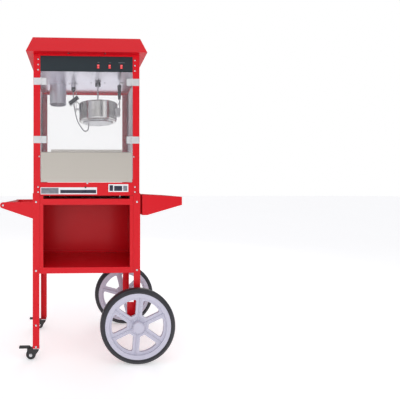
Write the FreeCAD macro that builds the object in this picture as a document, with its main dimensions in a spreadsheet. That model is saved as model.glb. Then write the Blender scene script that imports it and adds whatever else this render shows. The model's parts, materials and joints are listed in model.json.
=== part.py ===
import FreeCAD, Part
import math
import os
import re

import Sketcher
from FreeCAD import Placement, Rotation, Vector

# A kettle popcorn machine on its wheeled cart. Millimetres, +Z up, +X to the operator's right and
# +Y away from the operator. The origin is on the floor, under the middle of the whole object.
# X values below are measured from the middle of the machine's case.

dims = {
    # levels, from the floor up
    "legFoot": 55, "shelfBottom": 403, "shelfTop": 431, "rimBottom": 724, "deckTop": 752,
    "caseBottom": 767, "legTop": 779, "baseTop": 829, "flapBottom": 831, "flapTop": 969,
    "sillBottom": 970.5, "doorBottom": 973, "glassTop": 1341, "doorTop": 1346, "panelBottom": 1349,
    "ceilingZ": 1356, "panelTop": 1421, "caseTop": 1430, "roofTop": 1506,
    # case and canopy
    "caseWidth": 498, "caseDepth": 358, "skin": 1.5, "postFlange": 32, "glass": 3,
    "eave": 31, "roofWidth": 504, "roofDepth": 362, "roofInset": 12, "turnIn": 10,
    "floorDepth": 3, "slotLength": 30, "slotWidth": 5, "footRadius": 14, "footX": 215, "footY": 145,
    "screwRadius": 4, "screwHeight": 2, "screwX": 227, "boltX": 85, "boltY": 196,
    "catchX": 221.5, "catchZ": 950, "catchRadius": 4, "catchLength": 5,
    # front panel and switches
    "panelHalf": 216.8, "switchZ": 1373, "switchWidth": 16, "switchHeight": 24, "switchFrame": 2,
    "rockerWidth": 11.6, "rockerHeight": 18.4, "rockerSlope": 12, "rockerPin": 1.2,
    # doors and their hinges
    "doorEdge": 213, "doorGap": 1, "hingeX": 214.8, "hingeY": 2.4, "knuckle": 2.6, "pinRadius": 1.3,
    "leaf": 1.2, "leafHeight": 33, "postLeaf": 30, "doorLeaf": 24, "hingeHigh": 1301, "hingeLow": 1029,
    "sillStrip": 334, "sillDepth": 16, "sillLip": 12,
    # serving flap
    "flapHalf": 213.5, "flapFlange": 13, "flapAxisY": 5, "flapAxisZ": 836, "rodRadius": 2.5,
    "earHalf": 215, "earThick": 2, "earDepth": 9.5, "earHeight": 14,
    # kettle and what carries and turns it
    "kettleX": 64, "pivotZ": 1215, "potRadius": 97.5, "potBottom": 1148, "potTop": 1240,
    "potRim": 2, "heaterRadius": 79, "heaterBottom": 1141, "lidRadius": 99, "lidEdge": 9,
    "lidHingeY": 13, "lidHingeZ": 1243.8, "lidRod": 1.5, "lidBarrel": 3, "lidBarrelHalf": 20,
    "lugOffset": 22, "lugWidth": 6, "trunnion": 5, "trunnionReach": 119, "hangerX": 113,
    "hangerThick": 3, "hangerWidth": 18, "hangerBottom": 1203, "hangerFoot": 20,
    "shaftRadius": 4, "shaftTop": 1336, "tongue": 4, "tongueTop": 1349, "armReach": 80,
    "armWidth": 12, "armHeight": 4, "armGap": 2.5, "hubRadius": 15, "hubBottom": 1337, "hubTop": 1353,
    "slotHalf": 2.4, "spindleTop": 1380, "gearboxX": 76, "gearboxY": 64, "gearboxZ": 28,
    "motorRadius": 30, "motorTop": 1424, "gripY": 24, "gripTilt": 37.4, "tipGripX": 62.7,
    "tipGripZ": 1255.8, "tipGripRadius": 11, "tipGripLength": 56, "liftGripX": 174,
    "liftGripBottom": 1262, "liftGripTop": 1338, "liftGripThin": 7, "liftGripThick": 10.5,
    "strap": 3, "strapWidth": 14, "boxInner": 84, "boxOuter": 111.5, "boxFront": 46, "boxBack": 16,
    "boxLow": 44, "boxHigh": 2,
    # heater lead and lamp
    "socketX": 65, "socketY": 22, "socketRadius": 12, "socketBottom": 1336, "plugBottom": 1314,
    "plugTail": 5, "cableRadius": 3, "lampX": 148, "lampY": 56, "shadeRadius": 44.5,
    "shadeBottom": 1253, "holderRadius": 16, "holderBottom": 1322, "bulbRadius": 26, "bulbZ": 1294,
    # mains inlet
    "glandX": 180, "glandZ": 1385, "glandRadius": 9, "glandNut": 13, "glandReach": 16,
    # cart frame
    "legFlange": 31, "legSkin": 2.5, "legOut": 3, "cartGap": 0.5, "doorStile": 46.5,
    "rearStile": 20, "backLip": 10, "backLipDepth": 8, "deckStop": 14,
    # side tray on the right
    "trayNear": 262, "trayReach": 451, "trayTip": 762, "trayRear": 772, "trayLow": 675,
    "trayFlat": 23, "trayNose": 723, "trayShelf": 752, "channelHalf": 150, "channelBottom": 679,
    # push handle on the left
    "handleReach": 389, "handleTip": 14.5, "handleZ": 722.6, "bracketTop": 738, "bracketLow": 661,
    "bracketTab": 30, "handleRadius": 12.5, "handleWall": 1.5,
    # axle and big wheels
    "axleX": 232, "wheelRadius": 172.5, "axleRadius": 8, "axleEnd": 245, "collarRadius": 14,
    "axlePlateLeft": 190, "axlePlateShort": 30, "axlePlateLow": 145, "axlePlateTop": 266, "wheelOut": 221,
    "hubCap": 27, "hubInner": 20, "hubOuter": 28, "webHalf": 7, "rimInner": 131, "rimOuter": 151,
    "rimHalf": 16, "tyreHalf": 19, "tyreTread": 10, "windowInner": 50, "windowOuter": 120,
    "windowStart": 31, "windowCorner": 8, "restFront": -5, "restBack": -14,
    # castors
    "castorInset": 15.5, "castorTrail": 25, "castorRadius": 23, "castorHalf": 9.5, "castorPin": 3,
    "castorStem": 5, "plateHalf": 14, "plateBottom": 52, "forkTop": 51, "cheekIn": 11, "cheek": 2.5,
    "headRadius": 15, "pedalX": 36, "pedalZ": 50, "pedalPin": 2, "pedalBoss": 4, "pedalReach": 80,
    "pedalHalf": 9, "pedalThick": 7,
    "fit": 0.05,
}
originX = "(handleReach + handleTip - trayReach) / 2"

doc = FreeCAD.newDocument("popcornMaker")
sheet = doc.addObject("Spreadsheet::Sheet", "Dims")
for row, (alias, value) in enumerate(dims.items(), 1):
    sheet.set(f"A{row}", alias)
    sheet.set(f"B{row}", str(value))
    sheet.setAlias(f"B{row}", alias)
doc.recompute()

nodes = {}


def bound(text):
    """Point every word of an expression that names a dimension at the sheet."""
    return re.sub(r"[A-Za-z]\w*", lambda word: "Dims." + word[0] if word[0] in dims else word[0],
                  str(text))


def place(item, at, turn=None):
    if turn:
        item.Placement = Placement(Vector(), Rotation(Vector(*turn[0]), turn[1]))
    item.setExpression("Placement.Base.x", bound(f"{originX} + ({at[0]})"))
    item.setExpression("Placement.Base.y", bound(at[1]))
    item.setExpression("Placement.Base.z", bound(at[2]))
    return item


def node(name, item):
    item.Label = name
    nodes[name] = item
    return item


def box(name, x, y, z):
    """A block between two X, two Y and two Z values."""
    item = doc.addObject("Part::Box", name)
    for side, (low, high) in zip(("Length", "Width", "Height"), (x, y, z)):
        item.setExpression(side, bound(f"({high}) - ({low})"))
    return place(item, (x[0], y[0], z[0]))


def cylinder(name, at, radius, length, along="z", sector=360):
    turns = {"z": None, "y": ((1, 0, 0), -90), "x": ((0, 1, 0), 90)}
    item = doc.addObject("Part::Cylinder", name)
    item.setExpression("Radius", bound(radius))
    item.setExpression("Height", bound(length))
    item.Angle = sector
    return place(item, at, turns[along])


def join(name, *items, kind="Part::MultiFuse"):
    item = doc.addObject(kind, name)
    if kind == "Part::Compound":
        item.Links = list(items)
    else:
        item.Shapes = list(items)
    return item


def cut(name, base, *tools):
    item = doc.addObject("Part::Cut", name)
    item.Base = base
    item.Tool = tools[0] if len(tools) == 1 else join(name + "_tools", *tools)
    return item


def group(name, items):
    return node(name, join(name, *items, kind="Part::Compound"))


def sketch(body, name, role, outline):
    """A closed outline on one of the body's own planes, with every corner bound to the sheet."""
    item = body.newObject("Sketcher::SketchObject", name)
    plane = next(feature for feature in body.Origin.OriginFeatures if feature.Role == role)
    item.AttachmentSupport = (plane, [""])
    item.MapMode = "FlatFace"
    count = len(outline)
    rough = [Vector(math.cos(2 * math.pi * corner / count), math.sin(2 * math.pi * corner / count), 0)
             for corner in range(count)]
    for corner in range(count):
        item.addGeometry(Part.LineSegment(rough[corner], rough[(corner + 1) % count]))
    for corner in range(count):
        item.addConstraint(Sketcher.Constraint("Coincident", corner, 2, (corner + 1) % count, 1))
    for corner, (across, up) in enumerate(outline):
        for kind, text, start in (("DistanceX", across, rough[corner].x),
                                  ("DistanceY", up, rough[corner].y)):
            number = item.addConstraint(Sketcher.Constraint(kind, corner, 1, start))
            item.setExpression(f"Constraints[{number}]", bound(text))
    return item


def padded(name, role, outline, length, at, turn=None, back=False, middle=False):
    body = doc.addObject("PartDesign::Body", name)
    pad = body.newObject("PartDesign::Pad", name + "_pad")
    pad.Profile = sketch(body, name + "_outline", role, outline)
    pad.setExpression("Length", bound(length))
    pad.Reversed = back
    pad.Midplane = middle
    return place(body, at, turn)


def turnedBody(name, role, outline, at, turn=None):
    """A body of revolution about its own sketch's upright axis."""
    body = doc.addObject("PartDesign::Body", name)
    profile = sketch(body, name + "_outline", role, outline)
    revolution = body.newObject("PartDesign::Revolution", name + "_turning")
    revolution.Profile = profile
    revolution.ReferenceAxis = (profile, ["V_Axis"])
    revolution.Angle = 360
    return place(body, at, turn)


def angleSection(flange, skin):
    return [("0", "0"), (flange, "0"), (flange, skin), (skin, skin), (skin, flange), ("0", flange)]


corners = [("front_left", -1, -1, 0), ("front_right", 1, -1, 90),
           ("back_right", 1, 1, 180), ("back_left", -1, 1, 270)]


def cornerAngles(prefix, flange, skin, out, low, high):
    """Four upright angles, one at each corner, each with its corner outwards."""
    return {name: padded(f"{prefix}_{name}", "XY_Plane", angleSection(flange, skin), f"{high} - {low}",
                         (f"{x} * (caseWidth / 2 + {out})", f"{y} * (caseDepth / 2 + {out})", low),
                         ((0, 0, 1), angle))
            for name, x, y, angle in corners}


def topPan(name, halfX, halfY, low, high):
    """A folded pan, open underneath: a flat top and four walls turned down."""
    shell = box(name + "_outer", (f"-({halfX})", halfX), (f"-({halfY})", halfY), (low, high))
    hollow = box(name + "_inner", (f"-({halfX} - skin)", f"{halfX} - skin"),
                 (f"-({halfY} - skin)", f"{halfY} - skin"), (low, f"{high} - skin"))
    return cut(name, shell, hollow)


# ---- machine case -------------------------------------------------------------------------------

innerX, innerY = "caseWidth / 2 - skin", "caseDepth / 2 - skin"
faceY = "-caseDepth / 2"


def cornerPosts():
    posts = cornerAngles("post", "postFlange", "skin", "0", "caseBottom", "caseTop")
    group("corner_posts", posts.values())


def machineBase():
    shell = box("base_outer", (f"-({innerX})", innerX), (f"-({innerY})", innerY),
                ("caseBottom", "baseTop"))
    hollow = box("base_hollow", (f"-({innerX} - skin)", f"{innerX} - skin"),
                 (f"-({innerY} - skin)", f"{innerY} - skin"), ("caseBottom + skin", "baseTop - skin"))
    mouth = box("base_mouth", (f"-({innerX} - turnIn)", f"{innerX} - turnIn"),
                (f"-({innerY} - turnIn)", f"{innerY} - turnIn"), ("baseTop - skin", "baseTop"))
    ears = [box(f"ear_{side}", (low, high), (f"-({innerY})", f"-({innerY}) + earDepth"),
                ("baseTop", "baseTop + earHeight"))
            for side, low, high in (("left", "-(earHalf + earThick)", "-earHalf"),
                                    ("right", "earHalf", "earHalf + earThick"))]
    bore = cylinder("ear_bore", ("-caseWidth / 2", f"{faceY} + flapAxisY", "flapAxisZ"),
                    "rodRadius + fit", "caseWidth", "x")
    pan = cut("base_pan", shell, hollow, mouth)
    node("machine_base", cut("machine_base", join("base_with_ears", pan, *ears), bore))


def popcornFloor():
    plate = box("floor_plate", (f"-({innerX} - skin)", f"{innerX} - skin"),
                (f"-({innerY} - skin)", f"{innerY} - skin"), ("baseTop - skin - floorDepth / 2",
                                                              "baseTop - skin"))
    slots = [box(f"floor_slot_{column}_{line}",
                 (f"{column} * slotLength * 1.6 - slotLength / 2",
                  f"{column} * slotLength * 1.6 + slotLength / 2"),
                 (f"{line} * slotWidth * 6", f"{line} * slotWidth * 6 + slotWidth"),
                 ("baseTop - skin - floorDepth", "baseTop"))
             for column in range(-4, 5) for line in range(-5, 5)]
    node("popcorn_floor", cut("popcorn_floor", plate, join("floor_slots", *slots, kind="Part::Compound")))


def glassPanes():
    glassY = (f"-({innerY})", innerY)
    sides = [box(f"pane_{side}", x, glassY, ("baseTop", "glassTop")) for side, x in (
        ("left", (f"-({innerX})", f"-({innerX}) + glass")), ("right", (f"{innerX} - glass", innerX)))]
    back = box("pane_back", (f"-({innerX} - glass)", f"{innerX} - glass"), (f"{innerY} - glass", innerY),
               ("baseTop", "glassTop"))
    group("glass_panes", [*sides, back])


def topBox():
    band = box("band_outer", (f"-({innerX})", innerX), (f"-({innerY})", innerY), ("glassTop", "caseTop"))
    hollow = box("band_inner", (f"-({innerX} - skin)", f"{innerX} - skin"),
                 (f"-({innerY} - skin)", f"{innerY} - skin"), ("glassTop", "caseTop"))
    window = box("band_window", ("-panelHalf + 1", "panelHalf - 1"),
                 (f"-({innerY})", f"-({innerY}) + skin"),
                 ("glassTop", "panelTop"))
    inlet = cylinder("inlet_hole", ("glandX", f"{innerY} - skin", "glandZ"), "glandRadius", "skin", "y")
    node("top_box", cut("top_box", band, hollow, window, inlet))


def ceilingPlate():
    plate = box("ceiling_sheet", (f"-({innerX} - skin)", f"{innerX} - skin"),
                (f"-({innerY} - skin)", f"{innerY} - skin"), ("ceilingZ", "ceilingZ + skin"))
    hole = cylinder("spindle_hole", ("kettleX", "0", "ceilingZ"), "2 * shaftRadius", "skin")
    node("ceiling_plate", cut("ceiling_plate", plate, hole))


def roofWedge(name, drop, low):
    """A flat-topped pyramid whose walls stand the given distance inside the canopy's faces."""
    item = doc.addObject("Part::Wedge", name)
    foot = {"X": "caseWidth / 2 + eave", "Z": "caseDepth / 2 + eave"}
    head = {"X": "roofWidth / 2", "Z": "roofDepth / 2"}
    for side in ("X", "Z"):
        item.setExpression(side + "min", bound(f"-({foot[side]} - {drop})"))
        item.setExpression(side + "max", bound(f"{foot[side]} - {drop}"))
        item.setExpression(side + "2min", bound(f"-({head[side]} - {drop})"))
        item.setExpression(side + "2max", bound(f"{head[side]} - {drop}"))
    item.Ymin = 0
    item.setExpression("Ymax", bound(f"roofTop - caseTop - ({drop}) - ({low})"))
    return place(item, ("0", "0", f"caseTop + {low}"), ((1, 0, 0), 90))


def roofCanopy():
    mouth = box("roof_mouth", (f"-({innerX} - roofInset)", f"{innerX} - roofInset"),
                (f"-({innerY} - roofInset)", f"{innerY} - roofInset"), ("caseTop", "caseTop + skin"))
    node("roof_canopy", cut("roof_canopy", roofWedge("roof_outer", "0", "0"),
                            join("roof_inside", roofWedge("roof_inner", "skin", "skin"), mouth)))


switches = {"rocker_heat": 53.7, "rocker_stir": 107.5, "rocker_lamp": 163}


def controlPanel():
    plate = box("panel_plate", ("-panelHalf", "panelHalf"), (faceY, f"{faceY} + skin"),
                ("panelBottom", "panelTop"))
    holes, frames, bores = [], [], []
    for name, middle in switches.items():
        halfHole = "rockerWidth / 2 + 0.5"
        tall = "rockerHeight / 2 + 1.1"
        hole = box(name + "_hole", (f"{middle} - ({halfHole})", f"{middle} + {halfHole}"),
                   (f"{faceY} - switchFrame", f"{faceY} + skin"), (f"switchZ - ({tall})",
                                                                   f"switchZ + {tall}"))
        frame = box(name + "_surround", (f"{middle} - switchWidth / 2", f"{middle} + switchWidth / 2"),
                    (f"{faceY} - switchFrame", faceY), ("switchZ - switchHeight / 2",
                                                        "switchZ + switchHeight / 2"))
        holes.append(hole)
        frames.append(cut(name + "_frame", frame, hole))
        bores.append(cylinder(name + "_bore", (f"{middle} - rockerWidth / 2 - 1.5", faceY, "switchZ"),
                              "rockerPin + fit", "rockerWidth + 3", "x"))
    cutPlate = cut("panel_cut", plate, join("panel_holes", *holes, kind="Part::Compound"))
    node("control_panel", cut("control_panel", join("panel_with_frames", cutPlate, *frames),
                              join("panel_bores", *bores, kind="Part::Compound")))


def rockers():
    """Each rocker is a shallow V in side view on two stub pins, modelled tipped to its off side."""
    outline = [("-3.4", "rockerHeight / 2"), ("-1.9", "0"), ("-3.4", "-rockerHeight / 2"),
               ("1.5", "-rockerHeight / 2"), ("5", "-rockerHeight / 3"),
               ("5", "rockerHeight / 3"), ("1.5", "rockerHeight / 2")]
    for name, middle in switches.items():
        wedge = padded(name + "_wedge", "YZ_Plane", outline, "rockerWidth", (middle, faceY, "switchZ"),
                       ((1, 0, 0), dims["rockerSlope"]), middle=True)
        pin = cylinder(name + "_pin", (f"{middle} - rockerWidth / 2 - 1.3", faceY, "switchZ"),
                       "rockerPin",
                       "rockerWidth + 2.6", "x")
        node(name, join(name, wedge, pin))


def caseScrews():
    """Pan heads on the posts, two bolts under the canopy's front and the flap's two catch pins."""
    levels = (784, 808, 1355, 1380, 1405)
    heads = [cylinder(f"screw_{side}_{face}_{level}", (f"{side} * screwX", start, level), "screwRadius",
                      "screwHeight", "y")
             for side in (-1, 1) for level in levels
             for face, start in (("front", f"{faceY} - screwHeight"), ("back", "caseDepth / 2"))]
    heads += [cylinder(f"canopy_bolt_{side}", (f"{side} * boltX", "-boltY", "caseTop - 2 * screwHeight"),
                       "screwRadius + 1", "2 * screwHeight") for side in (-1, 1)]
    heads += [cylinder(f"catch_{side}", (f"{side} * catchX", f"{faceY} - catchLength", "catchZ"),
                       "catchRadius",
                       "catchLength", "y") for side in (-1, 1)]
    group("case_screws", heads)


def machineFeet():
    group("machine_feet", [cylinder(f"foot_{name}", (f"{x} * footX", f"{y} * footY", "deckTop"),
                                    "footRadius",
                                    "caseBottom - deckTop") for name, x, y, _ in corners])


def cableGland():
    """The mains lead's gland in the back of the top box; the lead itself isn't part of the object."""
    body = cylinder("gland_body", ("glandX", f"{innerY} - 3 * skin", "glandZ"), "glandRadius - fit",
                    "glandReach + 3 * skin", "y")
    nut = cylinder("gland_nut", ("glandX", innerY, "glandZ"), "glandNut", "glandReach / 2", "y")
    bore = cylinder("gland_bore", ("glandX", f"{innerY} - 3 * skin", "glandZ"), "glandRadius / 2",
                    "2 * glandReach", "y")
    node("cable_gland", cut("cable_gland", join("gland_solid", body, nut), bore))


# ---- doors and serving flap -----------------------------------------------------------------------

pinY = f"{faceY} - hingeY"


def doorPanels():
    for name, x in (("door_left", ("-doorEdge", "-doorGap")), ("door_right", ("doorGap", "doorEdge"))):
        node(name, box(name, x, (faceY, f"{faceY} + glass"), ("doorBottom", "doorTop")))


def hingeBarrel(name, side, low, high):
    return cylinder(name, (f"{side} * hingeX", pinY, low), "knuckle", f"{high} - ({low})")


def between(side, near, far):
    """An X range at the given distances from the middle, on the left (-1) or the right (1)."""
    return (f"-({far})", f"-({near})") if side < 0 else (near, far)


def doorHinges():
    """Four butt hinges (a post leaf, a door leaf and a pin each), with the rod the flap turns on."""
    postLeaves, pins, doorLeaves = [], [], {-1: [], 1: []}
    leafY = (f"{faceY} - leaf", faceY)
    for side in (-1, 1):
        for level in ("hingeHigh", "hingeLow"):
            tag = f"{'left' if side < 0 else 'right'}_{level}"
            low, high = f"{level} - leafHeight / 2", f"{level} + leafHeight / 2"
            lowKnuckle, highKnuckle = f"{level} - leafHeight / 6", f"{level} + leafHeight / 6"
            bore = cylinder(tag + "_bore", (f"{side} * hingeX", pinY, low), "pinRadius + fit",
                            "leafHeight")
            outer = [hingeBarrel(tag + "_foot", side, low, f"{lowKnuckle} - 0.3"),
                     hingeBarrel(tag + "_head", side, f"{highKnuckle} + 0.3", high)]
            webs = [box(tag + "_web_low", between(side, "hingeX", "hingeX + 3"), leafY,
                        (low, f"{lowKnuckle} - 0.3")),
                    box(tag + "_web_high", between(side, "hingeX", "hingeX + 3"), leafY,
                        (f"{highKnuckle} + 0.3", high))]
            plate = box(tag + "_plate", between(side, "hingeX + 3", "hingeX + 3 + postLeaf"), leafY,
                        (low, high))
            postLeaves.append(cut(tag + "_post_leaf", join(tag + "_post_solid", plate, *webs, *outer),
                                  bore))
            middle = hingeBarrel(tag + "_middle", side, lowKnuckle, highKnuckle)
            web = box(tag + "_door_web", between(side, "hingeX - 3", "hingeX"), leafY,
                      (lowKnuckle, highKnuckle))
            wing = box(tag + "_wing", between(side, "hingeX - 3 - doorLeaf", "hingeX - 3"), leafY,
                       (low, high))
            doorLeaves[side].append(cut(tag + "_door_leaf",
                                        join(tag + "_door_solid", wing, web, middle), bore))
            pins.append(cylinder(tag + "_pin", (f"{side} * hingeX", pinY, low), "pinRadius",
                                 "leafHeight"))
    group("post_hinge_leaves", postLeaves)
    group("door_left_leaves", doorLeaves[-1])
    group("door_right_leaves", doorLeaves[1])
    pins.append(cylinder("flap_rod", ("-(earHalf + earThick)", f"{faceY} + flapAxisY", "flapAxisZ"),
                         "rodRadius",
                         "2 * (earHalf + earThick)", "x"))
    group("hinge_pins", pins)


def doorSill():
    """The cross strip between the doors and the flap, with the upstand that the doors close against."""
    bar = box("sill_bar", (f"-({innerX} - glass - 0.5)", f"{innerX} - glass - 0.5"),
              (f"-({innerY})", f"-({innerY}) + sillDepth"), ("sillBottom", "sillBottom + skin"))
    lip = box("sill_lip", ("-sillStrip / 2", "sillStrip / 2"),
              (f"{faceY} + glass + 0.5", f"{faceY} + glass + 2"),
              ("sillBottom + skin", "sillBottom + skin + sillLip"))
    node("door_sill", join("door_sill", bar, lip))


def servingFlap():
    front, back = f"{faceY} + 0.3", f"{faceY} + 0.3 + skin"
    pieces = [box("flap_face", ("-flapHalf", "flapHalf"), (front, back), ("flapBottom", "flapTop")),
              box("flap_hem", ("-flapHalf", "flapHalf"), (back, f"{back} + turnIn"),
                  ("flapTop - skin", "flapTop"))]
    for side in (-1, 1):
        pieces.append(box(f"flap_side_{side}", between(side, "flapHalf - skin", "flapHalf"),
                          (back, f"{back} + flapFlange"), ("flapBottom", "flapTop")))
    bore = cylinder("flap_bore", ("-caseWidth / 2", f"{faceY} + flapAxisY", "flapAxisZ"),
                    "rodRadius + fit",
                    "caseWidth", "x")
    node("serving_flap", cut("serving_flap", join("flap_solid", *pieces), bore))


# ---- kettle, its drive and the lamp ---------------------------------------------------------------


def kettlePot():
    wall = [("0", "potBottom"), ("potRadius", "potBottom"), ("potRadius", "potTop - potRim"),
            ("potRadius + potRim", "potTop - potRim"), ("potRadius + potRim", "potTop"),
            ("potRadius - skin", "potTop"), ("potRadius - skin", "potBottom + skin"),
            ("0", "potBottom + skin")]
    shell = turnedBody("pot_shell", "XZ_Plane", wall, ("kettleX", "0", "0"))
    pins = [cylinder("trunnion_left", ("kettleX - trunnionReach", "0", "pivotZ"), "trunnion",
                     "trunnionReach - potRadius + skin / 2", "x"),
            cylinder("trunnion_right", ("kettleX + potRadius - skin / 2", "0", "pivotZ"), "trunnion",
                     "trunnionReach - potRadius + skin / 2", "x")]
    node("kettle_pot", join("kettle_pot", shell, *pins))


def heaterBase():
    outline = [("0", "heaterBottom"), ("heaterRadius - 5", "heaterBottom"),
               ("heaterRadius", "heaterBottom + 5"),
               ("heaterRadius", "potBottom"), ("0", "potBottom")]
    node("heater_base", turnedBody("heater_base", "XZ_Plane", outline, ("kettleX", "0", "0")))


def kettleLid():
    plate = ("potTop", "potTop + skin")
    wide = ("kettleX - 2 * lidRadius", "kettleX + 2 * lidRadius")
    disc = [cylinder(f"lid_disc_{half}", ("kettleX", "0", "potTop"), "lidRadius",
                     "skin") for half in range(2)]
    frontHalf = box("lid_front_half", wide, ("-2 * lidRadius", "-lidEdge"), plate)
    backHalf = box("lid_back_half", wide, ("-lidHingeY", "2 * lidRadius"), plate)
    shaftHole = cylinder("lid_shaft_hole", ("kettleX", "0", "potTop"), "shaftRadius + 1", "skin")
    lugs = [box(f"lid_lug_{side}", (f"kettleX + {x[0]}", f"kettleX + {x[1]}"),
                ("-lidHingeY - 2", "-lidEdge + 4"),
                ("potTop + skin", "lidHingeZ + 2.2"))
            for side, x in ((-1, ("-lugOffset - lugWidth", "-lugOffset")),
                            (1, ("lugOffset", "lugOffset + lugWidth")))]
    rod = cylinder("lid_rod", ("kettleX - lugOffset - 1", "-lidHingeY", "lidHingeZ"), "lidRod",
                   "2 * lugOffset + 2", "x")
    node("lid_fixed", join("lid_fixed", cut("lid_back_plate", disc[0], frontHalf, shaftHole), *lugs, rod))
    notches = [box(f"lid_notch_{side}", (f"kettleX + {x[0]}", f"kettleX + {x[1]}"),
                   ("-lidHingeY - 6", "-lidEdge"), plate)
               for side, x in ((-1, ("-lugOffset - lugWidth - 1.5", "-lugOffset + 1.5")),
                               (1, ("lugOffset - 1.5", "lugOffset + lugWidth + 1.5")))]
    leafPlate = cut("lid_front_plate", disc[1], backHalf, *notches)
    barrel = cylinder("lid_barrel", ("kettleX - lidBarrelHalf", "-lidHingeY", "lidHingeZ"), "lidBarrel",
                      "2 * lidBarrelHalf", "x")
    bore = cylinder("lid_bore", ("kettleX - lugOffset", "-lidHingeY", "lidHingeZ"), "lidRod + fit",
                    "2 * lugOffset", "x")
    node("lid_flap", cut("lid_flap", join("lid_leaf", leafPlate, barrel), bore))


def stirrer():
    low = "potBottom + skin + armGap"
    shaft = cylinder("stirrer_shaft", ("kettleX", "0", low), "shaftRadius", f"shaftTop - ({low})")
    tongue = box("stirrer_tongue", ("kettleX - tongue / 2", "kettleX + tongue / 2"),
                 ("-shaftRadius + 0.5", "shaftRadius - 0.5"),
                 ("shaftTop", "tongueTop"))
    arms = [box("stirrer_arm_x", ("kettleX - armReach", "kettleX + armReach"),
                ("-armWidth / 2", "armWidth / 2"),
                (low, f"{low} + armHeight")),
            box("stirrer_arm_y", ("kettleX - armWidth / 2", "kettleX + armWidth / 2"),
                ("-armReach", "armReach"),
                (low, f"{low} + armHeight"))]
    node("stirrer", join("stirrer", shaft, tongue, *arms))


def driveHub():
    dog = cylinder("hub_dog", ("kettleX", "0", "hubBottom"), "hubRadius", "hubTop - hubBottom")
    slot = box("hub_slot", ("kettleX - slotHalf", "kettleX + slotHalf"),
               ("-2 * hubRadius", "2 * hubRadius"),
               ("hubBottom", "tongueTop + 1.5"))
    spindle = cylinder("hub_spindle", ("kettleX", "0", "hubTop"), "shaftRadius", "spindleTop - hubTop")
    node("drive_hub", join("drive_hub", cut("hub_fork", dog, slot), spindle))


def gearMotor():
    seat = "ceilingZ + skin"
    case = box("gearbox_case", ("kettleX - gearboxX / 2", "kettleX + gearboxX / 2"),
               ("-gearboxY / 2", "gearboxY / 2"),
               (seat, f"{seat} + gearboxZ"))
    can = cylinder("motor_can", ("kettleX", "0", f"{seat} + gearboxZ"), "motorRadius",
                   f"motorTop - ({seat}) - gearboxZ")
    bore = cylinder("gearbox_bore", ("kettleX", "0", seat), "shaftRadius + fit",
                    "spindleTop + 1 - ceilingZ - skin")
    node("gear_motor", cut("gear_motor", join("motor_solid", case, can), bore))


def kettleHangers():
    """Two straps from the ceiling, each with a hole that a trunnion turns in."""
    straps = []
    for side in (-1, 1):
        x = (f"kettleX + {side} * hangerX", f"kettleX + {side} * (hangerX + hangerThick)")
        foot = (f"kettleX + {side} * hangerX", f"kettleX + {side} * (hangerX + hangerFoot)")
        strap = box(f"hanger_strap_{side}", x[::side], ("-hangerWidth / 2", "hangerWidth / 2"),
                    ("hangerBottom", "ceilingZ"))
        seat = box(f"hanger_foot_{side}", foot[::side], ("-hangerWidth / 2", "hangerWidth / 2"),
                   ("ceilingZ - hangerThick", "ceilingZ"))
        bore = cylinder(f"hanger_bore_{side}", (f"{x[::side][0]} - 1", "0", "pivotZ"), "trunnion + fit",
                        "hangerThick + 2", "x")
        straps.append(cut(f"hanger_{side}", join(f"hanger_solid_{side}", strap, seat), bore))
    group("kettle_hangers", straps)


def kettleGrips():
    tip = cylinder("tipping_grip", ("-tipGripX - tipGripLength / 2 * cos(gripTilt)", "-gripY",
                                    "tipGripZ - tipGripLength / 2 * sin(gripTilt)"),
                   "tipGripRadius", "tipGripLength")
    tip.Placement = Placement(Vector(), Rotation(Vector(0, 1, 0), 90 - dims["gripTilt"]))
    node("tipping_grip", tip)
    lift = doc.addObject("Part::Cone", "lifting_grip")
    lift.setExpression("Radius1", bound("liftGripThin"))
    lift.setExpression("Radius2", bound("liftGripThick"))
    lift.setExpression("Height", bound("liftGripTop - liftGripBottom"))
    node("lifting_grip", place(lift, ("liftGripX", "-gripY", "liftGripBottom")))


def gripStraps():
    """Bent straps that carry the grips; the right one comes out of a box that holds the thermostat."""
    left = [("0", "-30"), ("0", "12"), ("-15.5", "27.8"), ("-46", "4.5"), ("-54.7", "16"),
            ("-57.1", "14.2"),
            ("-46.5", "0.4"), ("-15.8", "23.8"), ("-strap", "10.8"), ("-strap", "-30")]
    right = [("0", "-40"), ("strap", "-40"), ("strap", "15"), ("15.5", "30"), ("15.5", "47"),
             ("12.5", "47"),
             ("12.5", "31.5"), ("0", "17")]
    housing = box("strap_box_block", ("kettleX + boxInner", "kettleX + boxOuter"), ("-boxFront", "-boxBack"),
                  ("pivotZ - boxLow", "pivotZ - boxHigh"))
    potSpace = cylinder("strap_box_pot", ("kettleX", "0", "potBottom"), "potRadius + 0.1",
                        "potTop - potBottom")
    rightStrap = padded("strap_right", "XZ_Plane", right, "strapWidth",
                        ("kettleX + potRadius - 1.2", "-gripY", "pivotZ"), middle=True)
    group("grip_straps", [
        padded("strap_left", "XZ_Plane", left, "strapWidth",
               ("kettleX - potRadius + 1.2", "-gripY", "potTop - 15"), middle=True),
        join("strap_right_with_box", cut("strap_box", housing, potSpace), rightStrap)])


def heaterSocket():
    plate = box("socket_plate", ("-socketX - 26", "-socketX + 26"), ("socketY - 12.5", "socketY + 12.5"),
                ("ceilingZ - 2", "ceilingZ"))
    barrel = cylinder("socket_barrel", ("-socketX", "socketY", "socketBottom"), "socketRadius",
                      "ceilingZ - 2 - socketBottom")
    node("ceiling_socket", join("ceiling_socket", plate, barrel))
    outline = [("0", "plugBottom"), ("plugTail", "plugBottom"), ("socketRadius - 1", "plugBottom + 8"),
               ("socketRadius - 1", "socketBottom"), ("0", "socketBottom")]
    node("kettle_plug", turnedBody("kettle_plug", "XZ_Plane", outline, ("-socketX", "socketY", "0")))


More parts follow.
